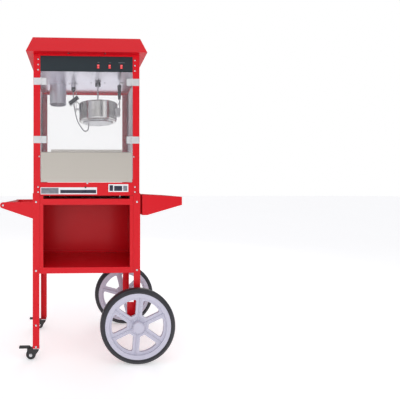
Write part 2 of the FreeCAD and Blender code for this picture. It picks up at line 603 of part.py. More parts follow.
def arcCorner(before, corner, after):
    """Tangent points and middle of the arc that rounds a corner of the cable's route."""
    toBefore, toAfter = before - corner, after - corner
    turn = math.pi - toBefore.getAngle(toAfter)
    shorter = min(toBefore.Length, toAfter.Length)
    radius = 0.45 * shorter / math.tan(turn / 2)
    start = corner + toBefore.normalize() * (0.45 * shorter)
    end = corner + toAfter.normalize() * (0.45 * shorter)
    inward = (toBefore + toAfter).normalize()
    middle = corner + inward * (radius / math.cos(turn / 2) - radius)
    return start, middle, end, radius


def kettleCable():
    """The heater's lead hangs from the plug in a slack loop and goes into the heater from below."""
    shift = (dims["handleReach"] + dims["handleTip"] - dims["trayReach"]) / 2
    route = [Vector(x + shift, y, z) for x, y, z in (
        (-65, 22, 1314), (-65, 22, 1288), (-63, 21, 1251), (-57.5, 18, 1214), (-50.5, 15, 1180),
        (-41.5, 13, 1151), (-26.5, 10, 1127.3), (-12.6, 10, 1105.1), (3.1, 10, 1101.9),
        (15.5, 10, 1112), (15.5, 10, 1141))]
    edges, at = [], route[0]
    for before, corner, after in zip(route, route[1:], route[2:]):
        start, middle, end, radius = arcCorner(before, corner, after)
        edges += [Part.LineSegment(at, start).toShape(), Part.Arc(start, middle, end).toShape()]
        at = end
        print(f"cable bend radius {radius:.0f} mm")
    edges.append(Part.LineSegment(at, route[-1]).toShape())
    path = Part.Wire(edges)
    ring = Part.Wire(Part.makeCircle(dims["cableRadius"], route[0], route[1] - route[0]))
    tube = path.makePipeShell([ring], True, True)
    solid = math.pi * dims["cableRadius"] ** 2 * path.Length
    print(f"cable {path.Length:.0f} mm long, volume ratio {tube.Volume / solid:.3f}")
    item = doc.addObject("Part::Feature", "kettle_cable")
    item.Shape = tube
    node("kettle_cable", item)


def lamp():
    shade = [("0", "ceilingZ"), ("shadeRadius", "ceilingZ"), ("shadeRadius", "shadeBottom"),
             ("shadeRadius - 1", "shadeBottom"), ("shadeRadius - 1", "ceilingZ - 1"), ("0",
                                                                                       "ceilingZ - 1")]
    tube = turnedBody("shade_tube", "XZ_Plane", shade, ("-lampX", "lampY", "0"))
    holder = cylinder("lamp_holder", ("-lampX", "lampY", "holderBottom"), "holderRadius",
                      "ceilingZ - 1 - holderBottom")
    group("lamp_shade", [tube, holder])
    bulb = doc.addObject("Part::Sphere", "bulb_globe")
    bulb.setExpression("Radius", bound("bulbRadius"))
    place(bulb, ("-lampX", "lampY", "bulbZ"))
    neck = cylinder("bulb_neck", ("-lampX", "lampY", "bulbZ"), "holderRadius - 3", "holderBottom - bulbZ")
    node("lamp_bulb", join("lamp_bulb", bulb, neck))


# ---- cart frame -----------------------------------------------------------------------------------

cartX, cartY = "caseWidth / 2 + cartGap", "caseDepth / 2 + cartGap"


def cartLegs():
    legs = cornerAngles("leg", "legFlange", "legSkin", "legOut", "legFoot", "legTop")
    for name in ("front_right", "back_right"):
        hole = cylinder(f"leg_hole_{name}", ("axleX", "-caseDepth", "wheelRadius"), "axleRadius + fit",
                        "2 * caseDepth", "y")
        foot = box(f"leg_foot_{name}", ("axlePlateLeft", "caseWidth"), ("-caseDepth", "caseDepth"),
                   ("0", "axlePlateLow"))
        legs[name] = cut(f"leg_bored_{name}", legs[name], hole, foot)
    group("cart_legs", legs.values())


def cartDeck():
    """The deck has tabs turned up at its front corners and a stop at the back that the machine sits in."""
    level = ("deckTop - skin", "deckTop + deckStop")
    front, back = (f"-({cartY})", f"-({cartY}) + skin"), (f"{cartY} - skin", cartY)
    inner = f"{cartX} - doorStile"
    tabs = [box(f"deck_tab_{side}", between(side, inner, f"{cartX} - legFlange / 8"), front,
                level) for side in (-1, 1)]
    stop = box("deck_stop", (f"-({inner})", inner), back, level)
    node("cart_deck", join("cart_deck", topPan("deck_pan", cartX, cartY, "rimBottom", "deckTop"), *tabs,
                           stop))
    node("cupboard_shelf", topPan("cupboard_shelf", cartX, cartY, "shelfBottom", "shelfTop"))


def cupboardSides():
    deep = f"2 * ({cartY})"
    walls = []
    for name, side in (("cupboard_left", 1), ("cupboard_right", -1)):
        section = [("0", "0"), (f"{side} * doorStile", "0"), (f"{side} * doorStile", "skin"),
                   (f"{side} * skin", "skin"),
                   (f"{side} * skin", f"{deep} - skin"), (f"{side} * rearStile", f"{deep} - skin"),
                   (f"{side} * rearStile", deep), ("0", deep)]
        walls.append(padded(name, "XY_Plane", section, "rimBottom - shelfTop",
                            (f"-{side} * ({cartX})", f"-({cartY})", "shelfTop")))
    group("cupboard_sides", walls)


def cupboardBack():
    wide = (f"-({cartX} - skin)", f"{cartX} - skin")
    sheetPart = box("back_sheet", wide, (f"{cartY} - 2 * skin", f"{cartY} - skin"),
                    ("shelfTop", "rimBottom"))
    lip = box("back_lip", wide, (f"{cartY} - 2 * skin - backLipDepth", f"{cartY} - 2 * skin"),
              ("shelfTop", "shelfTop + backLip"))
    node("cupboard_back", join("cupboard_back", sheetPart, lip))


def sideTray():
    """A tapered wing with a level shelf sunk between its rims, open underneath, on a folded channel."""
    width = f"2 * ({cartY} + legOut - cartGap)"
    outline = [("trayNear", "trayLow"), ("trayNear + trayFlat", "trayLow"), ("trayReach", "trayNose"),
               ("trayReach", "trayTip"), ("trayNear", "trayRear")]
    body = padded("tray_body", "XZ_Plane", outline, width, ("0", "0", "0"), middle=True)
    inner = [("trayNear + skin", "trayLow"), ("trayNear + trayFlat", "trayLow"),
             ("trayReach - skin", "trayNose - skin"),
             ("trayReach - skin", "trayShelf - skin"), ("trayNear + skin", "trayShelf - skin")]
    hollow = padded("tray_hollow", "XZ_Plane", inner, f"{width} - 2 * skin", ("0", "0", "0"), middle=True)
    sunk = box("tray_sunk", ("trayNear + skin", "trayReach - skin"),
               (f"-({width}) / 2 + skin", f"{width} / 2 - skin"), ("trayShelf", "trayRear"))
    channel = box("tray_channel", ("caseWidth / 2 + legOut", "trayNear"), ("-channelHalf", "channelHalf"),
                  ("channelBottom", "trayRear - 2"))
    group("side_tray", [cut("tray_wing", body, hollow, sunk), channel])


def pushHandle():
    """Two tapered plates with rounded ends carry the tube that the cart is pushed by."""
    flat = [("-handleReach", "handleZ + handleTip"), ("-handleReach - 4.7", "handleZ - handleTip + 0.8"),
            ("-caseWidth / 2 - legOut - legSkin", "bracketLow"), ("-caseWidth / 2 - legOut - legSkin",
                                                                  "bracketTop")]
    plates = []
    outY = "caseDepth / 2 + legOut"
    for side in (-1, 1):
        low = f"{side} * ({outY} - legSkin / 2)"
        plate = padded(f"bracket_plate_{side}", "XZ_Plane", flat, "legSkin", ("0", low, "0"), middle=True)
        tip = cylinder(f"bracket_tip_{side}", ("-handleReach", f"{low} - legSkin / 2", "handleZ"),
                       "handleTip", "legSkin", "y")
        tabY = (f"-({outY})", f"-({outY}) + bracketTab") if side < 0 else (f"{outY} - bracketTab", outY)
        tab = box(f"bracket_tab_{side}", ("-caseWidth / 2 - legOut - legSkin",
                                          "-caseWidth / 2 - legOut"), tabY,
                  ("bracketLow", "bracketTop"))
        plates.append(join(f"bracket_{side}", plate, tip, tab))
    group("handle_brackets", plates)
    inside = "caseDepth / 2 + legOut - legSkin"
    tube = cylinder("handle_tube", ("-handleReach", f"-({inside})", "handleZ"), "handleRadius",
                    f"2 * ({inside})", "y")
    bore = cylinder("handle_bore", ("-handleReach", f"-({inside})", "handleZ"),
                    "handleRadius - handleWall",
                    f"2 * ({inside})", "y")
    node("push_handle", cut("push_handle", tube, bore))


def cartBolts():
    """Dome heads: at the handle's ends, on the legs, and where the tray's channel is held."""
    spots = [("-handleReach", "handleZ"), ("-caseWidth / 2 + 12.5", "legFoot + 8"),
             ("-caseWidth / 2 + 12.5", "legFoot + 108"),
             ("-caseWidth / 2 + 12.5", "rimBottom + 14"), ("caseWidth / 2 - 12.5", "rimBottom + 14"),
             ("-caseWidth / 2 + 12.5", "shelfBottom + 14"), ("caseWidth / 2 - 12.5", "shelfBottom + 14")]
    heads = []
    for number, (x, z) in enumerate(spots):
        heads.append(cylinder(f"bolt_front_{number}", (x, "-caseDepth / 2 - legOut - 3", z),
                              "screwRadius + 1", "3", "y"))
        heads.append(cylinder(f"bolt_back_{number}", (x, "caseDepth / 2 + legOut", z),
                              "screwRadius + 1", "3", "y"))
    group("cart_bolts", heads)


# ---- axle, wheels and castors -----------------------------------------------------------------------


def axle():
    rod = cylinder("axle_rod", ("axleX", "-axleEnd", "wheelRadius"), "axleRadius", "2 * axleEnd", "y")
    room = "wheelOut - hubInner - caseDepth / 2 - legOut - 0.5"
    collars = [cylinder("collar_front", ("axleX", "-(wheelOut - hubInner - 0.5)", "wheelRadius"),
                        "collarRadius", room, "y"),
               cylinder("collar_back", ("axleX", "caseDepth / 2 + legOut", "wheelRadius"),
                        "collarRadius", room, "y")]
    node("axle", join("axle", rod, *collars))
    inner = "caseDepth / 2 + legOut - legSkin"
    plates = []
    for side in (-1, 1):
        y = (f"-({inner})", f"-({inner}) + legSkin") if side < 0 else (f"{inner} - legSkin", inner)
        left = "axlePlateLeft" if side < 0 else "axlePlateLeft + axlePlateShort"
        plate = box(f"axle_plate_{side}", (left, "caseWidth / 2 + legOut - legSkin"), y,
                    ("axlePlateLow", "axlePlateTop"))
        hole = cylinder(f"axle_plate_hole_{side}", ("axleX", "-caseDepth", "wheelRadius"),
                        "axleRadius + fit",
                        "2 * caseDepth", "y")
        plates.append(cut(f"axle_plate_bored_{side}", plate, hole))
    group("axle_plates", plates)


def wheelWindow(name, angle):
    """One opening between two spokes: a wedge with its point moved out, inside the rim, corners rounded."""
    slice60 = cylinder(name + "_slice", ("0", "0", "0"), "windowOuter", "4 * webHalf", sector=60)
    turn = Rotation(Vector(0, 0, 1), angle - 30)
    away = Rotation(Vector(0, 0, 1), angle).multVec(Vector(dims["windowStart"], 0, 0))
    slice60.setExpression("Placement.Base.x", None)
    slice60.setExpression("Placement.Base.y", None)
    slice60.setExpression("Placement.Base.z", None)
    slice60.Placement = Placement(away, turn)
    disc = doc.addObject("Part::Cylinder", name + "_limit")
    disc.setExpression("Radius", bound("windowOuter"))
    disc.setExpression("Height", bound("4 * webHalf"))
    core = doc.addObject("Part::Cylinder", name + "_core")
    core.setExpression("Radius", bound("windowInner"))
    core.setExpression("Height", bound("4 * webHalf"))
    both = doc.addObject("Part::MultiCommon", name + "_both")
    both.Shapes = [slice60, disc]
    window = cut(name, both, core)
    doc.recompute()
    rounded = doc.addObject("Part::Fillet", name + "_rounded")
    rounded.Base = window
    rounded.Edges = [(number, dims["windowCorner"], dims["windowCorner"])
                     for number, edge in enumerate(window.Shape.Edges, 1)
                     if abs(edge.Vertexes[0].Z - edge.Vertexes[-1].Z) > dims["webHalf"]]
    return rounded


def bigWheels():
    section = [("0", "hubOuter"), ("hubCap", "hubOuter"), ("hubCap", "webHalf"), ("rimInner", "webHalf"),
               ("rimInner", "rimHalf"), ("rimOuter", "rimHalf"), ("rimOuter", "-rimHalf"),
               ("rimInner", "-rimHalf"), ("rimInner", "-webHalf"), ("hubCap", "-webHalf"),
               ("hubCap", "-hubInner"), ("axleRadius + fit", "-hubInner"),
               ("axleRadius + fit", "hubOuter - 3"), ("0", "hubOuter - 3")]
    tread = [("rimOuter", "rimHalf"), ("rimOuter + 8", "tyreHalf"), ("wheelRadius - 4", "tyreHalf - 2"),
             ("wheelRadius", "tyreTread"), ("wheelRadius", "-tyreTread"),
             ("wheelRadius - 4", "2 - tyreHalf"),
             ("rimOuter + 8", "-tyreHalf"), ("rimOuter", "-rimHalf")]
    for end, side, rest in (("front", -1, dims["restFront"]), ("back", 1, dims["restBack"])):
        at = ("axleX", f"{side} * wheelOut", "wheelRadius")
        lying = ((1, 0, 0), -90 * side)
        blank = turnedBody(f"wheel_blank_{end}", "XZ_Plane", section, at, lying)
        windows = join(f"wheel_windows_{end}",
                       *[wheelWindow(f"window_{end}_{number}", 60 * number + rest) for number in range(6)],
                       kind="Part::Compound")
        centred = doc.addObject("Part::Compound", f"wheel_cutter_{end}")
        centred.Links = [windows]
        windows.Placement = Placement(Vector(0, 0, -2 * dims["webHalf"]), Rotation())
        place(centred, at, lying)
        node(f"wheel_{end}", cut(f"wheel_{end}", blank, centred))
        node(f"tyre_{end}", turnedBody(f"tyre_{end}", "XZ_Plane", tread, at, lying))


def castors():
    """Each castor trails to the left: a plate and stem on the leg, a fork, a wheel and a brake pedal."""
    plates = []
    axisX = "-(caseWidth / 2 + legOut - castorInset)"
    for end, side in (("front", -1), ("back", 1)):
        axisY = f"{side} * (caseDepth / 2 + legOut - castorInset)"
        plate = box(f"castor_plate_{end}", (f"{axisX} - plateHalf", f"{axisX} + plateHalf"),
                    (f"{axisY} - plateHalf", f"{axisY} + plateHalf"), ("plateBottom", "legFoot"))
        stem = cylinder(f"castor_stem_{end}", (axisX, axisY, "forkTop - 3"), "castorStem",
                        "plateBottom - forkTop + 3")
        plates.append(join(f"castor_mount_{end}", plate, stem))
        fork(end, axisX, axisY)
        roller = cylinder(f"castor_tread_{end}",
                          (f"{axisX} - castorTrail", f"{axisY} - castorHalf", "castorRadius"),
                          "castorRadius", "2 * castorHalf", "y")
        bore = cylinder(f"castor_bore_{end}", (f"{axisX} - castorTrail", f"{axisY} - castorHalf",
                                               "castorRadius"),
                        "castorPin + fit", "2 * castorHalf", "y")
        node(f"castor_wheel_{end}", cut(f"castor_wheel_{end}", roller, bore))
        pedal(end, axisX, axisY)
    group("castor_plates", plates)


def fork(end, axisX, axisY):
    side = [("12", "forkTop"), ("12", "44"), ("-12", "12"), ("-33", "12"), ("-42", "30"), ("-42", "55"),
            ("-31", "55"),
            ("-28", "forkTop")]
    cheeks = [padded(f"fork_cheek_{end}_{number}", "XZ_Plane", side, "cheek",
                     (axisX, f"{axisY} + {out} * (cheekIn + cheek / 2)", "0"), middle=True)
              for number, out in enumerate((-1, 1))]
    crown = box(f"fork_crown_{end}", (f"{axisX} - 28", f"{axisX} + 12"),
                (f"{axisY} - cheekIn - cheek", f"{axisY} + cheekIn + cheek"), ("forkTop - 3", "forkTop"))
    head = cylinder(f"fork_head_{end}", (axisX, axisY, "forkTop - 3"), "headRadius", "3")
    wide = ("cheekIn + cheek", "2 * (cheekIn + cheek)")
    pins = [cylinder(f"fork_{name}_{end}", (f"{axisX} - {back}", f"{axisY} - ({wide[0]})", up), radius,
                     wide[1], "y")
            for name, back, up, radius in (("axle", "castorTrail", "castorRadius", "castorPin"),
                                           ("pivot", "pedalX", "pedalZ", "pedalPin"))]
    bore = cylinder(f"fork_bore_{end}", (axisX, axisY, "forkTop - 4"), "castorStem + fit", "6")
    node(f"castor_fork_{end}", cut(f"castor_fork_{end}",
                                   join(f"fork_solid_{end}", *cheeks, crown, head, *pins), bore))


def pedal(end, axisX, axisY):
    plate = box(f"pedal_plate_{end}", (f"{axisX} - pedalReach", f"{axisX} - pedalX + pedalBoss"),
                (f"{axisY} - pedalHalf", f"{axisY} + pedalHalf"),
                ("pedalZ + 2.5", "pedalZ + 2.5 + pedalThick"))
    boss = cylinder(f"pedal_boss_{end}", (f"{axisX} - pedalX", f"{axisY} - pedalHalf", "pedalZ"),
                    "pedalBoss", "2 * pedalHalf", "y")
    bore = cylinder(f"pedal_bore_{end}", (f"{axisX} - pedalX", f"{axisY} - pedalHalf", "pedalZ"),
                    "pedalPin + fit", "2 * pedalHalf", "y")
    node(f"brake_pedal_{end}", cut(f"brake_pedal_{end}", join(f"pedal_solid_{end}", plate, boss), bore))


def checkAndWrite():
    doc.recompute()
    for item in doc.Objects:
        if "Invalid" in item.State or "Error" in item.State:
            raise RuntimeError(f"{item.Name} did not recompute")
    for name, item in nodes.items():
        if item.Shape.isNull() or not item.Shape.isValid() or not item.Shape.Solids:
            raise RuntimeError(f"{name} has no valid solid")
    os.makedirs("parts", exist_ok=True)
    for name, item in nodes.items():
        item.Shape.exportStep(f"parts/{name}.step")
    print(len(nodes), "nodes written")


for build in (cornerPosts, machineBase, popcornFloor, glassPanes, topBox, ceilingPlate, roofCanopy,
              controlPanel, rockers, caseScrews, machineFeet, cableGland, doorPanels, doorHinges, doorSill,
              servingFlap, kettlePot, heaterBase, kettleLid, stirrer, driveHub, gearMotor, kettleHangers,
              kettleGrips, gripStraps, heaterSocket, kettleCable, lamp, cartLegs, cartDeck, cupboardSides,
              cupboardBack, sideTray, pushHandle, cartBolts, axle, bigWheels, castors):
    build()
checkAndWrite()
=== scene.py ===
import json
import math

import bpy
from mathutils import Matrix, Vector

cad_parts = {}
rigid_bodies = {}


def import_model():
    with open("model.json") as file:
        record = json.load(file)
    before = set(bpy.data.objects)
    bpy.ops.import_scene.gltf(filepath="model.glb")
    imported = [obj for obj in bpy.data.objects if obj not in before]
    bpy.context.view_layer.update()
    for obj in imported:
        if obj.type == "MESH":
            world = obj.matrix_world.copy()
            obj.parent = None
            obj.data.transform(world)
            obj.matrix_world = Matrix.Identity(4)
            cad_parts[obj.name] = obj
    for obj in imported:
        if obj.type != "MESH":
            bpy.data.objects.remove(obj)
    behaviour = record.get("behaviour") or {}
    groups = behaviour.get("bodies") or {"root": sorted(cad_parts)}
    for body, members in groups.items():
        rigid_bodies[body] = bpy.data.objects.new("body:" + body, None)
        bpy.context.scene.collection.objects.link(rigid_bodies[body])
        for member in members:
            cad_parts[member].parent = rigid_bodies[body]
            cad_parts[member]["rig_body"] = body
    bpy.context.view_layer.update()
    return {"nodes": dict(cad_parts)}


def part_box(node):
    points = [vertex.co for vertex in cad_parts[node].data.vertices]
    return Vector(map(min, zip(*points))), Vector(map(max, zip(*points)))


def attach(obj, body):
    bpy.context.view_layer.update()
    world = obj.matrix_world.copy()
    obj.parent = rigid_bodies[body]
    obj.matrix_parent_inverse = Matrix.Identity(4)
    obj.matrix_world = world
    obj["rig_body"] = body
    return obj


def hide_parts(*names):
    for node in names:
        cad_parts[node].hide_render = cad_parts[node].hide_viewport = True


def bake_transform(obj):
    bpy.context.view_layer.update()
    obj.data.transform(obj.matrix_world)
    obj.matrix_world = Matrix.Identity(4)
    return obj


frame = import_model()
millimetre = 0.001
middleX = (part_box("corner_posts")[0].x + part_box("corner_posts")[1].x) / 2   # middle of the case
print("frame loaded,", len(frame["nodes"]), "nodes")


def deselect():
    if bpy.context.object and bpy.context.object.mode != "OBJECT":
        bpy.ops.object.mode_set(mode="OBJECT")
    bpy.ops.object.select_all(action="DESELECT")


def pick(piece):
    deselect()
    piece.select_set(True)
    bpy.context.view_layer.objects.active = piece


def editing(piece):
    pick(piece)
    bpy.ops.object.mode_set(mode="EDIT")
    bpy.ops.mesh.select_mode(type="VERT")
    bpy.ops.mesh.select_all(action="SELECT")


def settle(piece, name=None):          # put the place in the mesh, object at the origin
    deselect()
    bpy.context.view_layer.update()
    piece.data.transform(piece.matrix_world)
    piece.matrix_world = Matrix.Identity(4)
    if name:
        piece.name = name
        piece.data.name = name
    return piece


def addModifier(piece, kind, **values):
    pick(piece)
    modifier = piece.modifiers.new(kind.title(), kind)
    for key, value in values.items():
        setattr(modifier, key, value)
    bpy.ops.object.modifier_apply(modifier=modifier.name)


def bevel(piece, width, segments=2, angle=30, mark=-1):
    addModifier(piece, "BEVEL", width=width, segments=segments, limit_method="ANGLE", material=mark,
                angle_limit=math.radians(angle), harden_normals=False, use_clamp_overlap=True)


def markRounded(piece):                # keeps which faces the bevel made, for the finish's paler edges
    marks = [float(polygon.material_index == 1) for polygon in piece.data.polygons]
    rounded = piece.data.attributes.new("rounded", "FLOAT", "FACE")
    rounded.data.foreach_set("value", marks)
    piece.data.materials.clear()


def smooth(piece, angle=35):
    pick(piece)
    bpy.ops.object.shade_smooth_by_angle(angle=math.radians(angle))


def weighted(piece):                   # keeps flat faces flat beside a bevel
    addModifier(piece, "WEIGHTED_NORMAL", keep_sharp=True, weight=80)


def closeUp(piece):                    # merge doubles, then point the faces out
    editing(piece)
    bpy.ops.mesh.remove_doubles(threshold=1e-6)
    bpy.ops.mesh.normals_make_consistent(inside=False)
    bpy.ops.object.mode_set(mode="OBJECT")


def join(name, pieces):
    deselect()
    for piece in pieces:
        piece.select_set(True)
    bpy.context.view_layer.objects.active = pieces[0]
    if len(pieces) > 1:
        bpy.ops.object.join()
    return settle(bpy.context.object, name)


def copyOf(piece, name, turn=None, shift=None):
    new = piece.copy()
    new.data = piece.data.copy()
    bpy.context.scene.collection.objects.link(new)
    if turn:
        new.data.transform(turn)
    if shift:
        new.data.transform(Matrix.Translation(shift))
    new.name = name
    return new


def block(name, low, high):            # a cube primitive at its size and place
    deselect()
    bpy.ops.mesh.primitive_cube_add(size=1)
    piece = bpy.context.object
    low, high = Vector(low), Vector(high)
    piece.scale = high - low
    piece.location = (low + high) / 2
    return settle(piece, name)


def turned(name, profile, centre, along="z", steps=64):
    # profile holds (radius, height) pairs in metres
    deselect()
    bpy.ops.mesh.primitive_plane_add(size=0.001)
    piece = bpy.context.object
    editing(piece)
    bpy.ops.mesh.merge(type="CENTER")
    radius, height = profile[0]
    bpy.ops.transform.translate(value=(radius, 0, height))
    for before, after in zip(profile, profile[1:]):
        step = (after[0] - before[0], 0, after[1] - before[1])
        bpy.ops.mesh.extrude_region_move(TRANSFORM_OT_translate={"value": step})
    bpy.ops.mesh.select_all(action="SELECT")
    bpy.ops.mesh.spin(steps=steps, angle=2 * math.pi, center=(0, 0, 0), axis=(0, 0, 1))
    bpy.ops.mesh.select_all(action="SELECT")
    bpy.ops.mesh.remove_doubles(threshold=2e-6)
    bpy.ops.mesh.normals_make_consistent(inside=False)
    bpy.ops.object.mode_set(mode="OBJECT")
    turns = {"z": Matrix.Identity(4), "y": Matrix.Rotation(math.radians(90), 4, "X"),
             "-y": Matrix.Rotation(math.radians(-90), 4, "X"), "x": Matrix.Rotation(math.radians(90), 4, "Y"),
             "-x": Matrix.Rotation(math.radians(-90), 4, "Y"),
             "-z": Matrix.Rotation(math.radians(180), 4, "X")}
    piece.data.transform(Matrix.Translation(Vector(centre)) @ turns[along])
    smooth(piece, 40)
    return settle(piece, name)


def fixed(piece, body, material, replaced=()):
    piece.data.materials.clear()
    piece.data.materials.append(material)
    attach(piece, body)
    if replaced:
        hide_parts(*replaced)
    return piece


def middleOf(node):
    low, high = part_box(node)
    return (low + high) / 2


def bead(name, radius, thick, centre, along="z", steps=72):     # a round ring
    around = [(radius + thick * math.cos(turn), thick * math.sin(turn))
              for turn in [math.radians(45 * step) for step in range(9)]]
    return turned(name, around, centre, along, steps)


def groupWith(name, inputs, outputs):
    group = bpy.data.node_groups.new(name, "ShaderNodeTree")
    for label, kind, value in inputs:
        socket = group.interface.new_socket(label, in_out="INPUT", socket_type="NodeSocket" + kind)
        if value is not None:
            socket.default_value = value
    for label, kind in outputs:
        group.interface.new_socket(label, in_out="OUTPUT", socket_type="NodeSocket" + kind)
    return group, group.nodes.new("NodeGroupInput"), group.nodes.new("NodeGroupOutput")


def mappedRange(tree, value, low, high, fromLow=0.3, fromHigh=0.7):
    node = tree.nodes.new("ShaderNodeMapRange")
    node.inputs["From Min"].default_value = fromLow
    node.inputs["From Max"].default_value = fromHigh
    tree.links.new(value, node.inputs["Value"])
    for key, item in (("To Min", low), ("To Max", high)):
        if isinstance(item, (int, float)):
            node.inputs[key].default_value = item
        else:
            tree.links.new(item, node.inputs[key])
    return node.outputs["Result"]


def mottleGroup():                     # soft patches between two colours
    group, inside, outside = groupWith("colourPatches", [
        ("Vector", "Vector", None), ("Colour A", "Color", (0.5, 0.5, 0.5, 1)),
        ("Colour B", "Color", (0.4, 0.4, 0.4, 1)),
        ("Scale", "Float", 6.0)], [("Colour", "Color")])
    noise = group.nodes.new("ShaderNodeTexNoise")
    noise.inputs["Detail"].default_value = 4
    mix = group.nodes.new("ShaderNodeMix")
    mix.data_type = "RGBA"
    group.links.new(inside.outputs["Vector"], noise.inputs["Vector"])
    group.links.new(inside.outputs["Scale"], noise.inputs["Scale"])
    group.links.new(mappedRange(group, noise.outputs["Fac"], 0, 1), mix.inputs["Factor"])
    group.links.new(inside.outputs["Colour A"], mix.inputs["A"])
    group.links.new(inside.outputs["Colour B"], mix.inputs["B"])
    group.links.new(mix.outputs["Result"], outside.inputs["Colour"])
    return group


def roughGroup():                      # roughness that drifts between two values, with wiped smears
    group, inside, outside = groupWith("wipedRoughness", [
        ("Vector", "Vector", None), ("Low", "Float", 0.2), ("High", "Float", 0.4), ("Scale", "Float", 8.0)],
        [("Roughness", "Float")])
    noise = group.nodes.new("ShaderNodeTexNoise")
    noise.inputs["Detail"].default_value = 6
    noise.inputs["Roughness"].default_value = 0.6
    noise.inputs["Distortion"].default_value = 0.8
    group.links.new(inside.outputs["Vector"], noise.inputs["Vector"])
    group.links.new(inside.outputs["Scale"], noise.inputs["Scale"])
    low, high = inside.outputs["Low"], inside.outputs["High"]
    result = mappedRange(group, noise.outputs["Fac"], low, high, 0.35, 0.65)
    group.links.new(result, outside.inputs["Roughness"])
    return group


def grainGroup():                      # fine parallel lines, stretched by the mapping that feeds it
    group, inside, outside = groupWith("brushedGrain", [
        ("Vector", "Vector", None), ("Strength", "Float", 0.2), ("Distance", "Float", 0.0002)],
        [("Line", "Float"), ("Normal", "Vector")])
    noise = group.nodes.new("ShaderNodeTexNoise")
    noise.inputs["Scale"].default_value = 1
    noise.inputs["Detail"].default_value = 3
    bump = group.nodes.new("ShaderNodeBump")
    group.links.new(inside.outputs["Vector"], noise.inputs["Vector"])
    group.links.new(noise.outputs["Fac"], bump.inputs["Height"])
    group.links.new(inside.outputs["Strength"], bump.inputs["Strength"])
    group.links.new(inside.outputs["Distance"], bump.inputs["Distance"])
    group.links.new(noise.outputs["Fac"], outside.inputs["Line"])
    group.links.new(bump.outputs["Normal"], outside.inputs["Normal"])
    return group


def peelGroup():                       # orange peel of sprayed paint, or the skin of moulded plastic
    group, inside, outside = groupWith("surfacePeel", [
        ("Vector", "Vector", None), ("Scale", "Float", 300.0), ("Strength", "Float", 0.1),
        ("Distance", "Float", 0.0005)], [("Normal", "Vector")])
    noise = group.nodes.new("ShaderNodeTexNoise")
    noise.inputs["Detail"].default_value = 2
    bump = group.nodes.new("ShaderNodeBump")
    group.links.new(inside.outputs["Vector"], noise.inputs["Vector"])
    group.links.new(inside.outputs["Scale"], noise.inputs["Scale"])
    group.links.new(noise.outputs["Fac"], bump.inputs["Height"])
    group.links.new(inside.outputs["Strength"], bump.inputs["Strength"])
    group.links.new(inside.outputs["Distance"], bump.inputs["Distance"])
    group.links.new(bump.outputs["Normal"], outside.inputs["Normal"])
    return group


def wearGroup():                       # worn or paler paint on the rounded edges, in patches
    group, inside, outside = groupWith("edgeWear", [
        ("Vector", "Vector", None), ("Rounded", "Float", 0.0), ("Colour", "Color", (0.5, 0.5, 0.5, 1)),
        ("Edge Colour", "Color", (0.7, 0.7, 0.7, 1)), ("Amount", "Float", 0.5)], [("Colour", "Color")])
    noise = group.nodes.new("ShaderNodeTexNoise")
    noise.inputs["Scale"].default_value = 40
    noise.inputs["Detail"].default_value = 5
    patchy = mappedRange(group, noise.outputs["Fac"], 0.4, 1, 0.4, 0.6)
    first = group.nodes.new("ShaderNodeMath")
    first.operation = "MULTIPLY"
    second = group.nodes.new("ShaderNodeMath")
    second.operation = "MULTIPLY"
    mix = group.nodes.new("ShaderNodeMix")
    mix.data_type = "RGBA"
    group.links.new(inside.outputs["Vector"], noise.inputs["Vector"])
    group.links.new(inside.outputs["Rounded"], first.inputs[0])
    group.links.new(patchy, first.inputs[1])
    group.links.new(first.outputs[0], second.inputs[0])
    group.links.new(inside.outputs["Amount"], second.inputs[1])
    group.links.new(second.outputs[0], mix.inputs["Factor"])
    group.links.new(inside.outputs["Colour"], mix.inputs["A"])
    group.links.new(inside.outputs["Edge Colour"], mix.inputs["B"])
    group.links.new(mix.outputs["Result"], outside.inputs["Colour"])
    return group


groups = {"patches": mottleGroup(), "rough": roughGroup(), "grain": grainGroup(), "peel": peelGroup(),
          "wear": wearGroup()}


def placed(tree, key, **values):
    node = tree.nodes.new("ShaderNodeGroup")
    node.node_tree = groups[key]
    for label, value in values.items():
        socket = node.inputs[label.replace("_", " ")]
        if hasattr(value, "is_output"):
            tree.links.new(value, socket)
        else:
            socket.default_value = value
    return node


